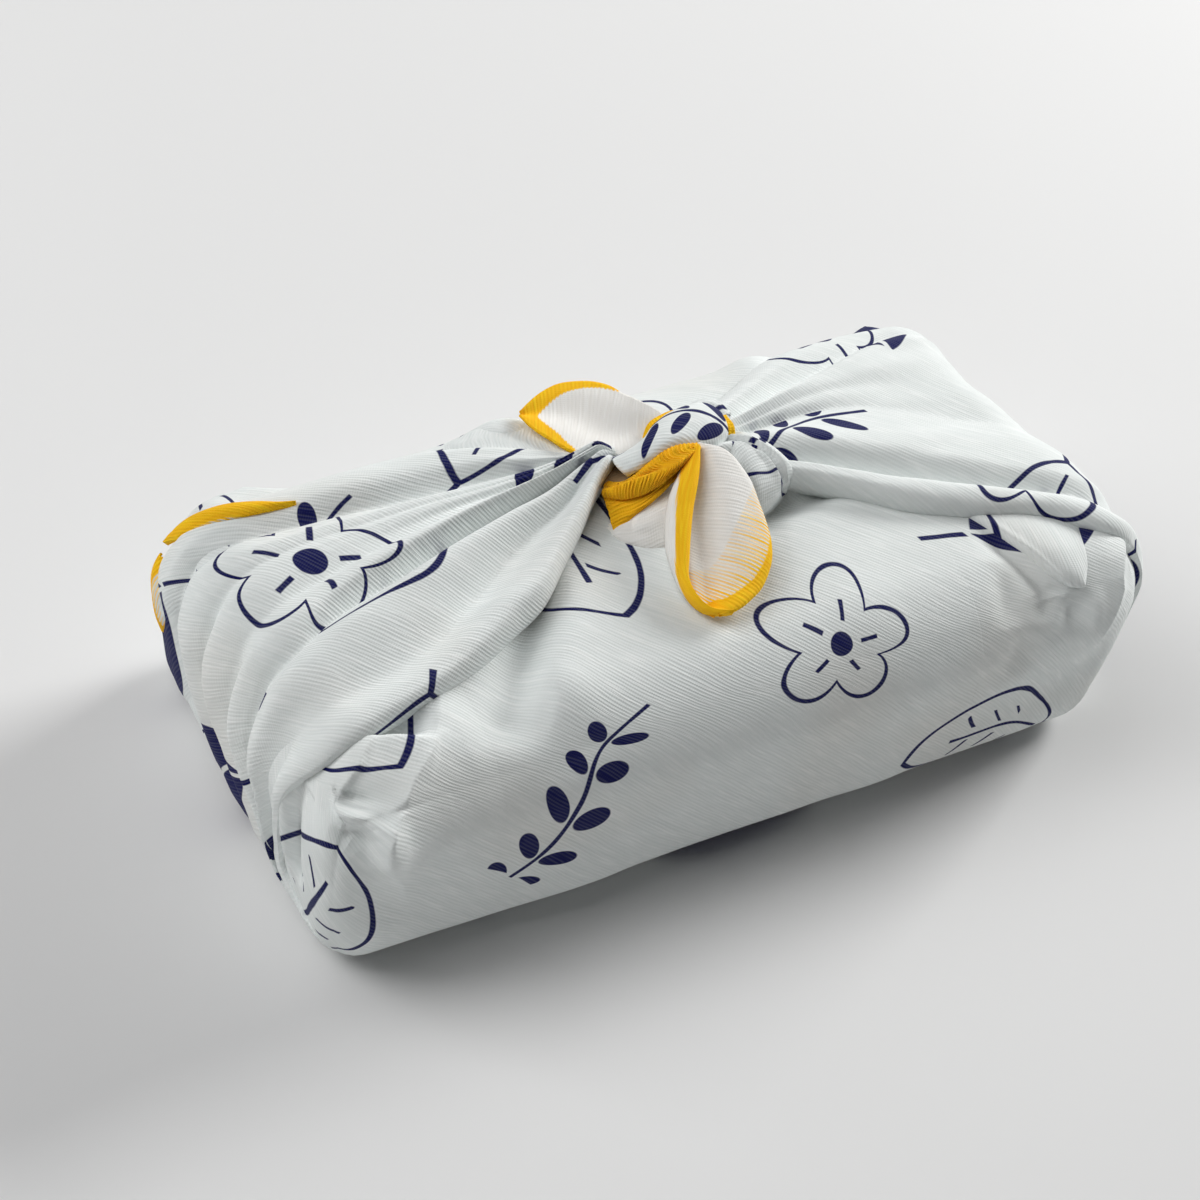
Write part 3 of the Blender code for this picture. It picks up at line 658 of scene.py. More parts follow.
class Amount:
    """A number that changes over the cloth: a socket that can be reckoned with."""

    def __init__(self, tree, socket):
        self.tree = tree
        self.socket = socket

    def step(self, operation, *others, clamp=False):
        node = self.tree.nodes.new("ShaderNodeMath")
        node.operation = operation
        node.use_clamp = clamp
        for slot, value in zip(node.inputs, (self, *others)):
            if isinstance(value, Amount):
                self.tree.links.new(value.socket, slot)
            else:
                slot.default_value = value
        return Amount(self.tree, node.outputs[0])

    def __add__(self, other):
        return self.step("ADD", other)

    def __sub__(self, other):
        return self.step("SUBTRACT", other)

    def __mul__(self, other):
        return self.step("MULTIPLY", other)

    def __truediv__(self, other):
        return self.step("DIVIDE", other)

    def size(self):
        return self.step("ABSOLUTE")

    def wave(self):
        return self.step("SINE")

    def most(self, other):
        return self.step("MAXIMUM", other)

    def whole(self):
        return self.step("FLOOR")

    def part(self):
        """What is left above the whole number below it."""
        return self.step("FRACT")

    def root(self):
        return self.step("SQRT")

    def under(self, limit, soft=0.22):
        """1 below the limit and 0 above it, with a soft change."""
        return ((self * -1.0 + limit) / soft + 0.5).step("ADD", 0.0, clamp=True)

    def over(self, limit, soft=0.22):
        return ((self - limit) / soft + 0.5).step("ADD", 0.0, clamp=True)


def effect(name, outputs, inputs=()):
    """A node group whose first input is a place on the cloth, in metres."""
    group = bpy.data.node_groups.new(name, "ShaderNodeTree")
    group.interface.new_socket("Cloth", in_out="INPUT", socket_type="NodeSocketVector")
    for label, value in inputs:
        socket = group.interface.new_socket(label, in_out="INPUT", socket_type="NodeSocketFloat")
        socket.default_value = value
    for label in outputs:
        group.interface.new_socket(label, in_out="OUTPUT", socket_type="NodeSocketFloat")
    entry = group.nodes.new("NodeGroupInput")
    leave = group.nodes.new("NodeGroupOutput")
    return group, entry, leave


def thread_axes(group, place):
    """Millimetres along the weft threads and across them, which lie at 45 degrees."""
    split = group.nodes.new("ShaderNodeSeparateXYZ")
    group.links.new(place, split.inputs[0])
    x = Amount(group, split.outputs["X"])
    y = Amount(group, split.outputs["Y"])
    per_mm = 1000 / math.sqrt(2)
    return (x + y) * per_mm, (x - y) * per_mm


def noise(group, x, y, detail=1.0):
    """Noise from 0 to 1 over two amounts."""
    join = group.nodes.new("ShaderNodeCombineXYZ")
    group.links.new(x.socket, join.inputs[0])
    group.links.new(y.socket, join.inputs[1])
    node = group.nodes.new("ShaderNodeTexNoise")
    node.inputs["Scale"].default_value = 1.0
    node.inputs["Detail"].default_value = detail
    group.links.new(join.outputs[0], node.inputs["Vector"])
    return Amount(group, node.outputs["Fac"])


WEFT_PITCH = 0.72
WARP_PITCH = 0.5


def slub_weave():
    """Thick and thin weft threads over a fine even warp."""
    group, entry, leave = effect("slub_weave", ("Height", "Tone"))
    a, b = thread_axes(group, entry.outputs["Cloth"])
    bend = noise(group, a / 14.0, b / 6.0)
    rib = ((b / WEFT_PITCH + bend * 1.6) * (2 * math.pi)).wave()
    warp = (a * (2 * math.pi / WARP_PITCH)).wave()
    slub = noise(group, a / 9.0, b / 0.62, detail=2.0)
    streak = noise(group, a / 26.0 + 7.0, b / 1.5, detail=1.0)
    thick = slub.over(0.60, 0.16)
    height = rib * 0.32 + warp * 0.12 + slub * 0.7 + thick * 0.45
    tone = rib * 0.07 + warp * 0.03 + (slub - 0.5) * 0.55 + (streak - 0.5) * 0.5 + thick * 0.30
    group.links.new(height.socket, leave.inputs["Height"])
    group.links.new(tone.socket, leave.inputs["Tone"])
    return group


CELL_ALONG, CELL_ACROSS = 58.0, 54.0
STROKE = 0.56               # half the width of a printed line
LEAF_ROUND, LEAF_INSET = 25.0, 11.5     # the circles that cross to make a leaf


def leaf_print():
    """Leaves, flowers and sprigs in line, one to a cell of a staggered layout."""
    group, entry, leave = effect("leaf_print", ("Ink",))
    a, b = thread_axes(group, entry.outputs["Cloth"])
    a = a + (noise(group, a / 27.0, b / 27.0, detail=0.0) - 0.5) * 9.0
    b = b + (noise(group, a / 24.0 + 40.0, b / 26.0, detail=0.0) - 0.5) * 9.0
    row = (b / CELL_ACROSS).whole()
    shifted = a + row * (CELL_ALONG * 0.5)
    column = (shifted / CELL_ALONG).whole()
    across = b - (row + 0.5) * CELL_ACROSS
    along = shifted - (column + 0.5) * CELL_ALONG
    angle = (column * 0.37 + row * 0.59).part() * (2 * math.pi)
    kind = (column * 0.2 + row * 0.4 + 0.1).part()
    cosine, sine = angle.step("COSINE"), angle.wave()
    x = along * cosine + across * sine
    y = across * cosine - along * sine
    width = noise(group, a / 6.0, b / 6.0) * 0.40 + (STROKE - 0.20)

    # a leaf is where two circles cross; its line bends a little
    bent = y - x * x * 0.010
    half = bent.size() + LEAF_INSET
    rim = (x * x + half * half).root()
    outline = ((rim - LEAF_ROUND).size() - width).under(0.0)
    midrib = (bent - (x / 5.0).wave()).size()
    rib = (midrib - width).under(0.0) * (x + 3.0).size().under(14.0)
    slant = (x - bent.size() * 0.8) / 8.0
    veins = ((slant.part() - 0.5).size() * 8.0 - width).under(0.0)
    veins = veins * (bent.size() - 5.0).size().under(2.6) * (x - 1.0).size().under(9.0)
    stem = (bent.size() - width * 1.3).under(0.0) * (x + 26.0).size().under(4.5)
    leaf = outline.most(rib).most(veins).most(stem)

    # a five-petalled flower with a solid heart
    reach = (x * x + y * y).root()
    turn = y.step("ARCTAN2", x)
    petal = reach - 10.5 - (turn * 2.5).wave().size() * 7.0
    spoke = (turn * (5 / (2 * math.pi))).part()
    spoke = (spoke - 0.5).size() * reach * (2 * math.pi / 5)
    spokes = (spoke - width).under(0.0) * (reach - 7.5).size().under(2.2)
    flower = (petal.size() - width).under(0.0).most(reach.under(3.0)).most(spokes)

    # a sprig: a long wavy stem with small solid leaves to each side
    stalk = y - (x / 7.5).wave() * 2.0
    step = (x / 9.0).part() * 9.0 - 4.5
    out = stalk.size() - 4.6
    blade_long, blade_wide = step * 0.6 + out * 0.8, step * 0.8 - out * 0.6
    blade = ((blade_long * blade_long) / 18.0 + (blade_wide * blade_wide) / 3.6).under(1.0, 0.15)
    sprig = (stalk.size() - width).under(0.0) * x.size().under(23.0)
    sprig = sprig.most(blade * (x + 2.0).size().under(20.2, 0.1))

    # a solid leaf, its midrib left bare
    solid = (rim - LEAF_ROUND + 1.5).under(0.0) * midrib.over(0.6)
    solid = solid.most(stem * x.under(-20.0))

    flower_cell = (kind - 0.3).size().under(0.1, 0.001)
    sprig_cell = (kind - 0.7).size().under(0.1, 0.001)
    solid_cell = kind.over(0.8, 0.001)
    leaf_cell = (flower_cell + sprig_cell + solid_cell) * -1.0 + 1.0
    ink = leaf * leaf_cell + flower * flower_cell + sprig * sprig_cell + solid * solid_cell
    group.links.new(ink.step("ADD", 0.0, clamp=True).socket, leave.inputs["Ink"])
    return group


HEM_WIDTH = 3.8


def yellow_hem():
    """Solid yellow at the edge, then single dyed threads that thin out."""
    group, entry, leave = effect("yellow_hem", ("Dye", "Stitch"), (("Edge", 0.1), ("Fade", 1.0)))
    a, b = thread_axes(group, entry.outputs["Cloth"])
    edge = Amount(group, entry.outputs["Edge"]) * 1000.0
    fade_width = Amount(group, entry.outputs["Fade"])
    ragged = (noise(group, a / 3.0, b / 0.5) - 0.5) * 0.5
    solid = (edge + ragged).under(HEM_WIDTH, 0.3)
    thread = (b / WEFT_PITCH * (2 * math.pi)).wave() * 0.5 + 0.5
    faded = ((edge - HEM_WIDTH) / fade_width).step("ADD", 0.0, clamp=True)
    strength = noise(group, a / 16.0, b / 0.7) * 1.4 + 0.25 - faded * 0.55
    lines = (thread - 0.30 - faded * 0.30).over(0.0, 0.4) * strength.step("ADD", 0.0, clamp=True)
    lines = lines * faded.under(0.97, 0.06)
    seam = (edge - HEM_WIDTH * 0.84).size().under(0.10, 0.35)
    group.links.new(solid.most(lines).socket, leave.inputs["Dye"])
    group.links.new(seam.socket, leave.inputs["Stitch"])
    return group


WHITE_TOP = (0.86, 0.885, 0.875, 1.0)
WHITE_LOW = (0.70, 0.745, 0.735, 1.0)
REVERSE_TOP = (0.90, 0.89, 0.86, 1.0)
REVERSE_LOW = (0.80, 0.775, 0.73, 1.0)
# Painted shade: a dark tan that stands for the shade in the gap under the knot's wrap. The cloth's
# own reverse is warm white.
PAINTED_SHADE_TOP = (0.40, 0.28, 0.165, 1.0)
PAINTED_SHADE_LOW = (0.31, 0.205, 0.11, 1.0)
NAVY = (0.005, 0.007, 0.080, 1.0)
YELLOW = (1.0, 0.64, 0.018, 1.0)
YELLOW_DEEP = (0.93, 0.41, 0.006, 1.0)
# Painted shade: a deeper, more orange yellow for the hems inside the knot. It stands for the shade
# and bounced light among its folds.
PAINTED_HEM_SHADE = (1.0, 0.58, 0.014, 1.0)
PAINTED_HEM_SHADE_DEEP = (0.84, 0.33, 0.005, 1.0)
WARM = (0.80, 0.63, 0.52, 1.0)


def mixed(tree, share, low, high, blend="MIX"):
    """A colour between two, each a colour or a socket."""
    node = tree.nodes.new("ShaderNodeMix")
    node.data_type = "RGBA"
    node.blend_type = blend
    for slot, value in ((node.inputs[0], share), (node.inputs[6], low), (node.inputs[7], high)):
        if isinstance(value, bpy.types.NodeSocket):
            tree.links.new(value, slot)
        elif isinstance(value, Amount):
            tree.links.new(value.socket, slot)
        else:
            slot.default_value = value
    return node.outputs[2]


def cotton(name, effects, printed=True, fade=0.0, low=WHITE_LOW, high=WHITE_TOP, warmth=0.16,
           relief=0.32, dyes_and_painted_shade=(YELLOW_DEEP, YELLOW)):
    """Slub cotton, with its print, or a yellow hem that fades over so many millimetres."""
    material = bpy.data.materials.new(name)
    material.use_nodes = True
    tree = material.node_tree
    shader = tree.nodes["Principled BSDF"]
    shader.inputs["Roughness"].default_value = 0.86
    shader.inputs["Sheen Weight"].default_value = 0.04
    shader.inputs["Sheen Roughness"].default_value = 0.6
    shader.inputs["Specular IOR Level"].default_value = 0.08
    place = tree.nodes.new("ShaderNodeUVMap")
    place.uv_map = "cloth"

    def use(effect_name):
        node = tree.nodes.new("ShaderNodeGroup")
        node.node_tree = effects[effect_name]
        tree.links.new(place.outputs[0], node.inputs["Cloth"])
        return node

    weave = use("slub_weave")
    tone = (Amount(tree, weave.outputs["Tone"]) + 0.55).step("ADD", 0.0, clamp=True)
    colour = mixed(tree, tone, low, high)
    where = tree.nodes.new("ShaderNodeTexCoord")
    cloud = tree.nodes.new("ShaderNodeTexNoise")
    cloud.inputs["Scale"].default_value = 28.0
    cloud.inputs["Detail"].default_value = 1.0
    tree.links.new(where.outputs["Object"], cloud.inputs["Vector"])
    show_through = Amount(tree, cloud.outputs["Fac"]).over(0.62, 0.2) * warmth
    colour = mixed(tree, show_through, colour, WARM, "MULTIPLY")
    if printed:
        ink = Amount(tree, use("leaf_print").outputs["Ink"])
        worn = (Amount(tree, weave.outputs["Height"]) * 0.08 + 0.95).step("ADD", 0.0, clamp=True)
        colour = mixed(tree, ink * worn, colour, NAVY)
    if fade:
        hem = use("yellow_hem")
        hem.inputs["Fade"].default_value = fade
        edge = tree.nodes.new("ShaderNodeUVMap")
        edge.uv_map = "edge"
        split = tree.nodes.new("ShaderNodeSeparateXYZ")
        tree.links.new(edge.outputs[0], split.inputs[0])
        tree.links.new(split.outputs[0], hem.inputs["Edge"])
        # the hem's yellow lies between two colours; for the hems inside the knot these colours are
        # painted shade
        dye_and_painted_shade = mixed(tree, tone, *dyes_and_painted_shade)
        dye_and_painted_shade = mixed(tree, Amount(tree, hem.outputs["Stitch"]) * 0.5, dye_and_painted_shade, dyes_and_painted_shade[0])
        colour = mixed(tree, hem.outputs["Dye"], colour, dye_and_painted_shade)
    tree.links.new(colour, shader.inputs["Base Color"])
    bump = tree.nodes.new("ShaderNodeBump")
    bump.inputs["Strength"].default_value = relief
    bump.inputs["Distance"].default_value = 0.0002
    tree.links.new(weave.outputs["Height"], bump.inputs["Height"])
    tree.links.new(bump.outputs["Normal"], shader.inputs["Normal"])
    return material


# ---------------------------------------------------------------- the knot

# The layers of the knot: lines along each layer, from one edge to the other
CORE_LINES = (
    ((-4, 6, 50), (-1, 4, 53), (2, 3, 54), (5, 2, 54), (9, 2, 54), (14, 2, 52)),
    ((-2, 16, 51), (0, 17, 54), (3, 17, 56), (6, 17, 57), (11, 16, 56), (15, 13, 53)),
)
WRAP_LINES = (
    ((-6.6, 7.9, 56.5), (-9.0, 6.9, 58.6), (-9.1, 6.4, 59.8), (-8.2, 6.1, 60.7), (-6.1, 6.5, 61.4),
        (-4.3, 6.8, 62.2), (-1.3, 7.5, 63.0), (1.9, 7.7, 63.4), (4.2, 7.3, 63.4), (6.8, 6.6, 63.0),
        (9.7, 6.3, 61.5), (12.7, 7.3, 58.0), (15.5, 9.3, 53.0)),
    ((-5.9, 15.2, 55.5), (-8.4, 14.2, 57.6), (-8.4, 13.4, 58.6), (-5.7, 13.4, 59.0),
        (-0.7, 15.0, 59.3), (2.7, 17.3, 60.0), (7.3, 19.0, 60.5), (11.8, 19.3, 60.8),
        (15.1, 18.5, 60.8), (17.0, 16.0, 60.4), (17.2, 13.0, 59.2), (17.0, 11.5, 57.0),
        (17.6, 11.6, 53.0)),
)
UPPER_LINES = (
    ((-14.5, 6.4, 55.4), (-12.7, 3.8, 56.6), (-11.0, 2.3, 57.6), (-8.4, 1.5, 58.6),
        (-5.8, 1.3, 59.8), (-3.1, 1.7, 60.8), (0.0, 2.6, 61.6), (3.7, 4.4, 62.0)),
    ((-14.0, 7.1, 56.8), (-12.1, 5.4, 58.7), (-9.5, 4.5, 60.2), (-6.2, 3.6, 61.4),
        (-2.8, 2.9, 62.4), (-0.1, 3.1, 63.1), (3.1, 4.4, 63.2), (6.2, 5.9, 62.8)),
    ((-12.9, 8.3, 56.2), (-11.6, 6.5, 57.6), (-9.7, 5.4, 59.0), (-7.1, 4.8, 60.4),
        (-4.4, 5.0, 61.4), (-1.6, 5.8, 62.2), (1.8, 6.2, 62.8), (5.4, 6.4, 62.8)),
    ((-11.9, 9.5, 56.4), (-11.2, 7.8, 57.4), (-9.9, 6.6, 58.6), (-8.0, 6.5, 60.0),
        (-4.9, 7.4, 61.4), (-0.4, 8.9, 62.4), (3.4, 8.9, 62.8), (7.2, 8.1, 62.4)),
)
LOWER_LINES = (
    ((-15.0, -0.8, 52.6), (-12.9, -0.7, 53.8), (-10.9, -0.4, 54.8), (-8.5, 0.1, 55.8),
        (-6.3, 0.6, 56.8), (-4.0, 1.1, 58.0), (-2.0, 1.8, 59.0), (0.8, 3.4, 60.0)),
    ((-14.6, 2.8, 54.3), (-12.6, 2.2, 55.3), (-10.6, 1.6, 56.3), (-8.2, 1.4, 57.3),
        (-5.7, 1.7, 58.3), (-3.2, 2.3, 59.3), (-1.0, 2.7, 60.0), (1.8, 4.4, 60.6)),
    ((-14.3, 6.4, 55.2), (-12.3, 5.5, 56.3), (-10.5, 4.3, 57.3), (-7.9, 3.7, 58.3),
        (-5.1, 3.7, 59.3), (-2.3, 4.1, 60.1), (0.8, 4.8, 60.7), (3.8, 6.0, 61.0)),
)
POUCH_LINES = (
    ((-14.2, 1.5, 50.0), (-14.1, -1.7, 50.4), (-12.7, -4.2, 50.2), (-10.7, -6.5, 50.2),
        (-8.6, -8.3, 50.2), (-5.5, -9.2, 50.6), (-2.5, -8.0, 51.0)),
    ((-15.2, 1.4, 53.6), (-12.5, 1.0, 54.4), (-10.0, 1.2, 55.2), (-7.2, 1.8, 56.2),
        (-4.4, 2.6, 57.2), (-1.6, 3.5, 58.0), (1.7, 4.6, 58.6)),
)
HOLLOW_LINES = (
    ((-16.0, 10.2, 53.0), (-13.4, 8.9, 55.6), (-11.6, 7.7, 56.4), (-9.8, 6.5, 57.0),
        (-7.4, 6.0, 57.8), (-5.0, 6.0, 57.6)),
    ((-11.6, 18.0, 52.0), (-9.2, 16.8, 54.6), (-7.2, 15.9, 55.4), (-5.4, 14.6, 56.0),
        (-3.4, 13.5, 56.8), (-1.0, 12.6, 56.8)),
)
NECK_LINES = (
    ((8.0, 9.0, 57.0), (11.3, 6.4, 58.6), (12.2, 2.5, 59.0), (12.5, -0.8, 58.6), (12.5, -3.8, 57.8),
        (13.1, -6.2, 56.0), (15.6, -6.4, 52.6), (18.3, -4.5, 49.0)),
    ((8.5, 10.5, 57.0), (12.6, 7.4, 59.2), (15.3, 4.2, 60.2), (16.8, 0.9, 59.8), (17.4, -2.3, 58.6),
        (17.9, -4.4, 56.4), (19.4, -4.4, 53.0), (21.9, -2.8, 49.0)),
    ((9.0, 11.5, 56.8), (13.4, 8.6, 59.2), (16.8, 5.0, 60.6), (18.7, 1.5, 60.2), (20.0, -1.8, 58.8),
        (20.8, -3.4, 56.4), (21.8, -3.0, 53.2), (24.0, -1.5, 49.0)),
    ((9.5, 12.5, 56.4), (14.0, 9.8, 58.8), (17.6, 6.2, 60.6), (20.2, 2.2, 60.4), (22.0, -1.2, 59.0),
        (22.8, -2.6, 56.6), (23.6, -2.0, 53.4), (25.7, -0.2, 49.0)),
)
# The roll behind the neck's rim, which goes on into the right gather
NECK_RIM_LINES = (
    ((10.0, 12.4, 56.0), (14.2, 9.6, 58.4), (17.9, 6.2, 60.0), (20.5, 2.3, 59.7),
        (22.3, -0.9, 58.4), (23.2, -2.3, 56.0), (24.0, -1.8, 53.0), (26.0, -0.2, 48.6)),
    ((12.0, 14.2, 55.8), (16.6, 11.8, 57.6), (20.2, 8.8, 58.2), (23.0, 5.2, 57.2),
        (25.6, 2.0, 55.0), (27.4, 0.4, 52.6), (28.8, 0.2, 50.6), (30.1, 0.5, 48.6)),
)
# The hem of the cloth behind the knot, where slivers of it show past the wrap
RIGHT_SLIVER = (
    ((13.5, 3.0, 54.0), (13.6, 6.0, 57.4), (13.7, 8.8, 59.4), (14.2, 9.8, 60.2), (14.8, 11.4, 61.0),
        (15.2, 13.6, 61.2)),
    ((15.6, 2.4, 53.0), (15.8, 5.6, 56.6), (16.1, 7.9, 59.0), (16.6, 9.0, 60.0), (17.2, 10.8, 60.6),
        (17.4, 14.0, 60.4)),
)
LEFT_SLIVER = (
    ((-1.6, 13.6, 54.0), (0.6, 15.4, 57.6), (2.4, 16.9, 58.8), (5.0, 18.0, 59.3), (8.0, 18.8, 59.3),
        (10.5, 19.0, 58.6)),
    ((-1.4, 15.0, 53.6), (0.4, 17.4, 57.8), (2.4, 18.9, 58.8), (5.2, 19.6, 59.1), (8.2, 20.2, 59.0),
        (11.0, 20.4, 58.2)),
)
SKIRT_BEHIND = (
    ((-5.0, 13.0, 56.0), (-2.0, 14.4, 56.8), (1.5, 16.0, 57.6), (5.0, 17.2, 58.4),
        (9.0, 18.0, 59.2), (12.5, 18.0, 59.4), (15.5, 16.8, 59.2), (18.2, 14.2, 57.8),
        (20.0, 11.2, 55.0)),
    ((-7.5, 16.5, 50.6), (-3.5, 18.6, 50.3), (0.5, 20.6, 50.1), (5.0, 22.4, 50.0),
        (9.5, 23.2, 50.0), (14.0, 22.8, 50.1), (18.0, 21.0, 50.3), (21.5, 18.0, 50.6),
        (24.0, 13.5, 50.8)),
)
FOLD_BEHIND = (
    ((9.0, 18.0, 58.0), (12.5, 18.6, 59.4), (15.5, 17.6, 60.0), (18.0, 15.4, 59.0)),
    ((10.0, 20.6, 57.0), (14.4, 21.2, 58.6), (18.0, 19.6, 59.2), (20.4, 16.2, 57.8)),
)


def make_knot(printed, reverse, hemmed, folded_hem_with_painted_shade, painted_shade_cloth):
    """The layers of the knot, from the middle outwards, and the folds of its neck."""
    make_band("knot_core", CORE_LINES, arch(3.5, -6.0), printed, (20, 140, 60),
        pleats=(3.0, 0.5, 0.8), rows=50, columns=40)
    # the cloth in the gap under the wrap is coloured with painted shade
    make_band("knot_hollow", HOLLOW_LINES, arch(0.4, -0.6), painted_shade_cloth, (10, 20, 60), rows=24, columns=16)
    make_band("hem_right_of_knot", RIGHT_SLIVER, arch(0.7), hemmed, (-45, 0, 0), hem="far",
        hem_taper=(-5, -5), rows=24, columns=14)
    make_band("hem_left_of_knot", LEFT_SLIVER, arch(0.5), hemmed, (-45, 0, 9), hem="far",
        hem_taper=(-5, -5), rows=24, columns=10)
    make_band("cloth_behind_knot", SKIRT_BEHIND, ((0, -0.5), (0.3, 0.9), (0.6, 0.2), (1, -0.2)),
        printed, (-25, 80, 70), pleats=(2.5, 0.35, 0.7), rows=70, columns=24)
    make_band("fold_behind_knot", FOLD_BEHIND, arch(1.0), printed, (-25, 21, 14), rows=30,
        columns=14)
    make_band("knot_pouch", POUCH_LINES, ((0, -1.0), (0.2, 1.9), (0.45, 2.4), (0.75, 1.2),
        (1, -0.6)), reverse, (40, 20, 0), pleats=(1.2, 0.25, 0.5), rows=50, columns=30,
        bulge_from=(-2, 4, 46))
    # the hems inside the knot have painted shade in their yellow
    make_band("lower_hem_fold", LOWER_LINES, ((0, -0.5), (0.10, 0.3), (0.5, 0.1), (1, -0.4)),
        folded_hem_with_painted_shade, (45, 0, 0), hem="near", hem_taper=(-6, -6), pleats=(4.5, 0.07, 1.0), rows=60,
        columns=40)
    make_band("upper_hem_fold", UPPER_LINES, ((0, -0.5), (0.12, 0.4), (0.33, 0.4), (0.5, 0.0),
        (0.8, 0.5), (1, -0.6)), folded_hem_with_painted_shade, (-45, 30, 0), hem="far", hem_taper=(-9, -9),
        pleats=(0.4, 0.10, 30.0), rows=240, columns=28)
    make_band("knot_wrap", WRAP_LINES, ((0, -1.0), (0.07, 0.2), (0.25, 1.6), (0.5, 2.2), (0.8, 1.3),
        (0.94, 0.3), (1, -0.8)), printed, (70, 15, 34), pleats=(0.8, 0.15, 0.7), rows=90,
        columns=44)
    make_band("neck_rim", NECK_RIM_LINES, arch(0.9, -1.8), printed, (-20, 44, 9), rows=50,
        columns=20, bulge_from=(10, -4, 48))
    make_band("neck_folds", NECK_LINES, ((0, -1.0), (0.12, 0.5), (0.4, 0.9), (0.62, 0.6),
        (0.73, -0.5), (0.82, 0.9), (0.93, 0.8), (1, -1.6)), printed, (-30, 64, 40),
        pleats=(1.3, 0.25, 0.5), rows=60, columns=72, bulge_from=(10, -4, 50))


# The free ends.  Each is a leaf of cloth between its two edges.
FRONT_LEFT = (
    (3.7, 8.3, 60.6), (1.7, 4.6, 60.8), (-1.4, 0.8, 60.0), (-4.3, -2.9, 59.0), (-6.8, -6.8, 58.0),
    (-8.8, -10.9, 57.0), (-9.9, -14.5, 56.0), (-10.4, -18.1, 55.0), (-10.5, -21.5, 54.2),
    (-10.0, -24.2, 53.6), (-9.0, -26.2, 53.2), (-7.4, -27.4, 53.0),
)
FRONT_RIGHT = (
    (7.5, 6.6, 62.4), (10.2, 4.1, 63.0), (11.4, 1.6, 62.8), (12.1, -1.7, 62.0), (12.3, -5.1, 61.2),
    (11.7, -9.5, 60.0), (11.1, -13.7, 58.8), (10.1, -17.8, 57.6), (7.9, -22.0, 56.4),
    (4.1, -25.7, 55.0), (0.6, -27.6, 54.6), (-2.6, -28.7, 54.2), (-5.0, -28.8, 53.8),
    (-7.0, -27.9, 53.2),
)
FRONT_PROFILE = ((0, -0.6), (0.12, 0.0), (0.3, -0.9), (0.45, 0.0),
                 (0.65, 1.3), (0.85, 1.1), (0.95, 0.5), (1, -0.2))
TURNED_OUTER = (
    (5.3, 7.9, 61.6), (0.4, 3.4, 61.8), (-3.9, -0.7, 61.0), (-6.7, -4.2, 59.8), (-8.5, -7.4, 58.8),
    (-10.0, -10.8, 57.6), (-10.8, -14.5, 56.4), (-11.3, -18.9, 55.2), (-11.1, -22.5, 54.4),
    (-9.9, -25.7, 53.7), (-8.2, -27.6, 53.5), (-6.0, -28.8, 53.7), (-4.4, -29.1, 53.7),
)
TURNED_INNER = (
    (5.8, 5.2, 63.6), (3.3, 0.8, 63.2), (0.6, -3.3, 62.2), (-2.1, -7.0, 60.8), (-5.1, -11.8, 59.4),
    (-7.6, -16.2, 57.8), (-9.2, -19.2, 56.6), (-9.5, -21.8, 55.6), (-8.9, -24.4, 54.6),
    (-7.9, -25.7, 54.0), (-6.8, -26.8, 54.0), (-5.4, -27.8, 54.3), (-4.2, -28.4, 54.4),
)
BACK_LOWER = (
    (4.0, 13.2, 57.4), (-0.8, 13.7, 57.0), (-6.2, 13.8, 56.6), (-10.4, 14.9, 56.6),
    (-13.4, 16.8, 57.0), (-15.4, 18.2, 57.4), (-16.9, 20.4, 57.6), (-17.8, 23.3, 57.2),
    (-18.8, 26.1, 56.9), (-19.4, 28.8, 56.6), (-19.5, 31.1, 56.3), (-19.4, 32.5, 56.2),
)
BACK_UPPER = (
    (7.5, 17.2, 58.6), (5.0, 21.6, 59.5), (3.2, 24.6, 59.5), (2.3, 26.4, 59.2), (1.3, 28.4, 58.8),
    (0.2, 31.8, 58.2), (-2.1, 34.6, 57.6), (-5.4, 36.5, 57.0), (-9.0, 37.1, 56.8),
    (-13.1, 36.2, 56.6), (-16.7, 34.6, 56.4), (-18.8, 33.4, 56.2),
)


def make_free_ends(fading_hem, hemmed_reverse):
    """The two free ends, and the hem turned over along the front one."""
    make_band("front_end", (FRONT_LEFT, FRONT_RIGHT), FRONT_PROFILE, fading_hem, (-16, 10, 3),
        hem="far", hem_taper=(14, 14, 14, 13, 8.5, 4.0, 2.0, 0.9, 0.3, 0.0, 0.6), rows=90,
        columns=56, thick=0.6, bulge_from=(0, -4, 15))
    make_band("front_end_turned_edge", (TURNED_OUTER, TURNED_INNER), ((0, -2.0), (0.12, -0.6),
        (0.32, 0.5), (0.6, 0.9), (0.9, 0.8), (1, 0.0)), hemmed_reverse, (45, 40, 3), hem="far",
        hem_taper=(-0.4, 0.0, 0.4, 0.9, 1.2, 1.2, 0.6, -1.0, -3.0), rows=80, columns=22, thick=0.6,
        bulge_from=(0, -4, 15))
    make_band("back_end", (BACK_LOWER, BACK_UPPER), ((0, 0.4), (0.15, 0.2), (0.5, -1.2),
        (0.85, 0.2), (1, 0.4)), hemmed_reverse, (-30, 70, 8), hem="round", hem_taper=(10, 9, 8, 6,
        4.2, 2.8, 1.9, 1.2, 0.8, 0.5, 0.3, 0.2), rows=70, columns=40, thick=0.6,
        bulge_from=(-8, 22, 15))


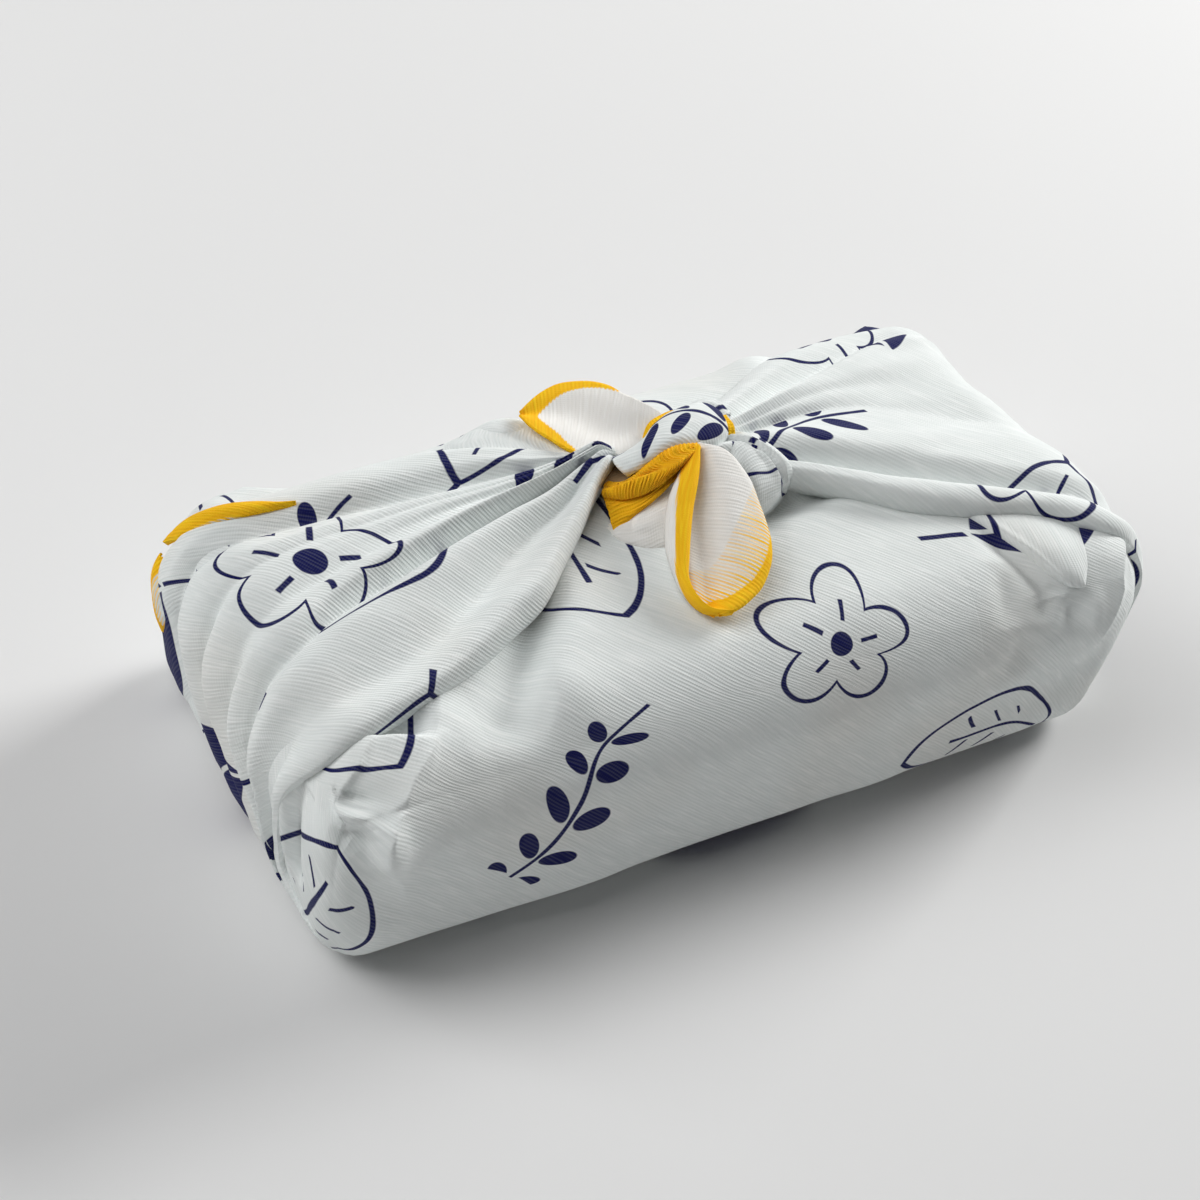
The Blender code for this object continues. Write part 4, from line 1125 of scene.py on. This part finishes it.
def ribbon_on_gather(name, side, places, material, hem="far", columns=14):
    """A narrow strip lying on a gather: at some distances from the middle, its two
    edges across the bundle and how far it stands off, (distance, near, far, rise)."""
    s, near, far, rise = (np.array(row, float) for row in zip(*places))
    t = np.linspace(0, 1, 60)
    steps = np.linspace(0, 1, len(places))
    s, near, far, rise = (smooth(steps, row, t) for row in (s, near, far, rise))
    c = np.linspace(0, 1, columns)[None, :]
    y = near[:, None] * (1 - c) + far[:, None] * c
    lift = rise[:, None] + 0.5 * np.sin(c * math.pi) - 0.8 * (1 - c) ** 4
    spots = gather_spots(side, np.repeat(s[:, None], columns, 1), y, lift)
    size = spread_out(spots)
    edge = edge_distance(spots, spots[:, -1] if hem == "far" else spots[:, 0])
    mesh = grid_mesh(name, spots, turned(size, 20), edge)
    face_the_light(mesh, (side * 40, 0, 20))
    return cloth_piece(name, mesh, material, flat_size(size, 1))


def on_flap(places):
    """Points standing off the near flap: (u, w, how far) triples."""
    sharp = np.array([box_spot(u, w) for u, w, _ in places], float)
    lift = np.array([off for _, _, off in places]) + flap_relief(sharp, RIGHT_CORNER_CREASES)
    return on_bundle(*sharp.T, lift)


TUCK_LEFT = (
    (54.5, 76, 0.0), (56.6, 71.5, 0.8), (60.2, 65.5, 1.2), (63.3, 60, 1.3), (66.6, 54, 1.2),
    (69.5, 49.8, 0.9), (72, 48.0, 0.3), (73.4, 48.2, 0.0),
)
TUCK_RIGHT = (
    (83, 70, 0.0), (81, 65, 0.2), (79.5, 61, 0.2), (78.2, 57, 0.2), (77, 53.6, 0.2),
    (75.8, 51, 0.1), (74.6, 49.0, 0.1), (73.6, 48.3, -0.1),
)


def make_tuck(material):
    """The tongue of cloth that comes out from under the right gather."""
    make_band("right_tuck", (on_flap(TUCK_LEFT), on_flap(TUCK_RIGHT)), ((0, -1.6), (0.06, 0.1),
        (0.2, 0.9), (0.5, 1.5), (0.8, 0.6), (0.93, -0.1), (1, -0.9)), material, (60, 20, 8),
        rows=60, columns=50, bulge_from=(60, 0, 12))


def make_back_corner(hemmed, printed):
    """Where the far flap's hem shows past the left gather, and its bunched cloth."""
    ribbon_on_gather("far_hem_on_top", -1, ((70, 28.0, 28.6, 4.4), (76, 28.8, 31.2, 4.4),
        (80.5, 29.8, 33.2, 4.0), (85, 31.4, 35.4, 3.6), (90, 33.6, 38.2, 3.2),
        (95.5, 36.4, 40.6, 2.8), (100, 38.5, 39.6, 2.4)), hemmed)
    ribbon_on_gather("far_hem_on_end", -1, ((103, 36.5, 38.2, 1.8), (107, 32.0, 37.6, 2.2),
        (112, 28.4, 36.4, 2.2), (116, 29.4, 34.6, 2.0), (120, 31.4, 32.8, 1.2)), hemmed)
    make_band("far_bunch",
              (((-38, 22, 50), (-31, 21, 53.5), (-23, 20, 56), (-14, 17, 57)),
               ((-39, 33, 46), (-31, 36, 49), (-22, 37, 50.5), (-12, 33, 51))),
              arch(4.2, -2.0), printed, (-20, 30, 90), pleats=(1.5, 0.5, 0.4))


# ---------------------------------------------------------------- stage, light and camera

def make_stage():
    bpy.ops.mesh.primitive_plane_add(size=8.0, location=(0, 0, 0))
    floor = bpy.context.object
    floor.name = "pale_floor"
    paper = bpy.data.materials.new("pale_paper")
    paper.use_nodes = True
    shader = paper.node_tree.nodes["Principled BSDF"]
    shader.inputs["Base Color"].default_value = (0.79, 0.79, 0.79, 1)
    shader.inputs["Roughness"].default_value = 0.9
    shader.inputs["Specular IOR Level"].default_value = 0.2
    floor.data.materials.append(paper)


def area_light(name, spot, size, power, colour=(1, 1, 1)):
    data = bpy.data.lights.new(name, "AREA")
    data.shape = "SQUARE"
    data.size = size
    data.energy = power
    data.color = colour
    light = bpy.data.objects.new(name, data)
    light.location = spot
    light.rotation_euler = (-Vector(spot)).to_track_quat("-Z", "Y").to_euler()
    bpy.context.scene.collection.objects.link(light)


def make_light():
    world = bpy.data.worlds.new("studio")
    world.use_nodes = True
    sky = world.node_tree.nodes["Background"]
    sky.inputs["Color"].default_value = (0.97, 0.985, 1.0, 1)
    sky.inputs["Strength"].default_value = 0.045
    bpy.context.scene.world = world
    area_light("left_window", (-1.1, 0.7, 1.0), 0.9, 11.0)
    area_light("right_window", (1.2, 0.27, 0.58), 0.5, 17.2, (1.0, 0.997, 0.985))
    area_light("overhead", (-0.5, 0.3, 1.3), 1.0, 6.6)
    area_light("front_glow", (-0.45, -1.2, 0.10), 0.16, 1.5)
    bpy.context.scene.view_settings.view_transform = "Standard"


def make_camera():
    """The photograph's view: round the bundle, above it, and leaning a little."""
    a, e, r = (math.radians(v) for v in (VIEW_AZIMUTH, VIEW_ELEVATION, VIEW_ROLL))
    back = Vector((math.sin(a) * math.cos(e), -math.cos(a) * math.cos(e), math.sin(e)))
    level = Vector((0, 0, 1)).cross(back).normalized()
    upright = back.cross(level)
    right = level * math.cos(r) + upright * math.sin(r)
    up = upright * math.cos(r) - level * math.sin(r)
    data = bpy.data.cameras.new("photo_view")
    data.sensor_width = SENSOR
    data.lens = FOCAL_PIXELS / FRAME_PIXELS * SENSOR
    data.clip_start, data.clip_end = 0.01, 20
    camera = bpy.data.objects.new("photo_view", data)
    eye = back * VIEW_DISTANCE + right * VIEW_RIGHT + up * VIEW_UP
    camera.matrix_world = Matrix.Translation(eye) @ Matrix((right, up, back)).transposed().to_4x4()
    bpy.context.scene.collection.objects.link(camera)
    bpy.context.scene.camera = camera


# ---------------------------------------------------------------- the scene

effects = {"slub_weave": slub_weave(), "leaf_print": leaf_print(), "yellow_hem": yellow_hem()}
printed_cotton = cotton("printed_cotton_face", effects)
reverse_cotton = cotton("cotton_reverse", effects, printed=False, low=REVERSE_LOW, high=REVERSE_TOP,
                        warmth=0.30)
# painted shade for the cloth in the knot's gap
painted_shade_cotton = cotton("cotton_painted_shade_in_knot", effects, printed=False, low=PAINTED_SHADE_LOW,
                       high=PAINTED_SHADE_TOP)
fading_hem = cotton("cotton_reverse_fading_hem", effects, printed=False, fade=9.0,
                    low=REVERSE_LOW, high=REVERSE_TOP, warmth=0.30)
hemmed_reverse = cotton("cotton_reverse_hem", effects, printed=False, fade=0.3,
                        low=REVERSE_LOW, high=REVERSE_TOP, warmth=0.30)
hemmed_cotton = cotton("cotton_hem", effects, printed=False, fade=2.5, relief=0.7)
# the knot's hems: yellow with painted shade
hem_with_painted_shade = cotton("cotton_hem_with_painted_shade_in_knot", effects, printed=False, fade=2.5, relief=0.95,
                     dyes_and_painted_shade=(PAINTED_HEM_SHADE_DEEP, PAINTED_HEM_SHADE))

make_flaps(printed_cotton)
make_corner("left_corner", LEFT_CORNER, LEFT_CORNER_CREASES, printed_cotton)
make_corner("right_corner", RIGHT_CORNER, RIGHT_CORNER_CREASES, printed_cotton)
make_gather("left_gather", -1, LEFT_FOLDS, LEFT_PANELS, printed_cotton)
make_gather("right_gather", 1, RIGHT_FOLDS, RIGHT_PANELS, printed_cotton)
make_tuck(printed_cotton)
make_back_corner(hemmed_cotton, printed_cotton)
make_knot(printed_cotton, reverse_cotton, hemmed_cotton, hem_with_painted_shade, painted_shade_cotton)
make_free_ends(fading_hem, hemmed_reverse)
make_stage()
make_light()
make_camera()
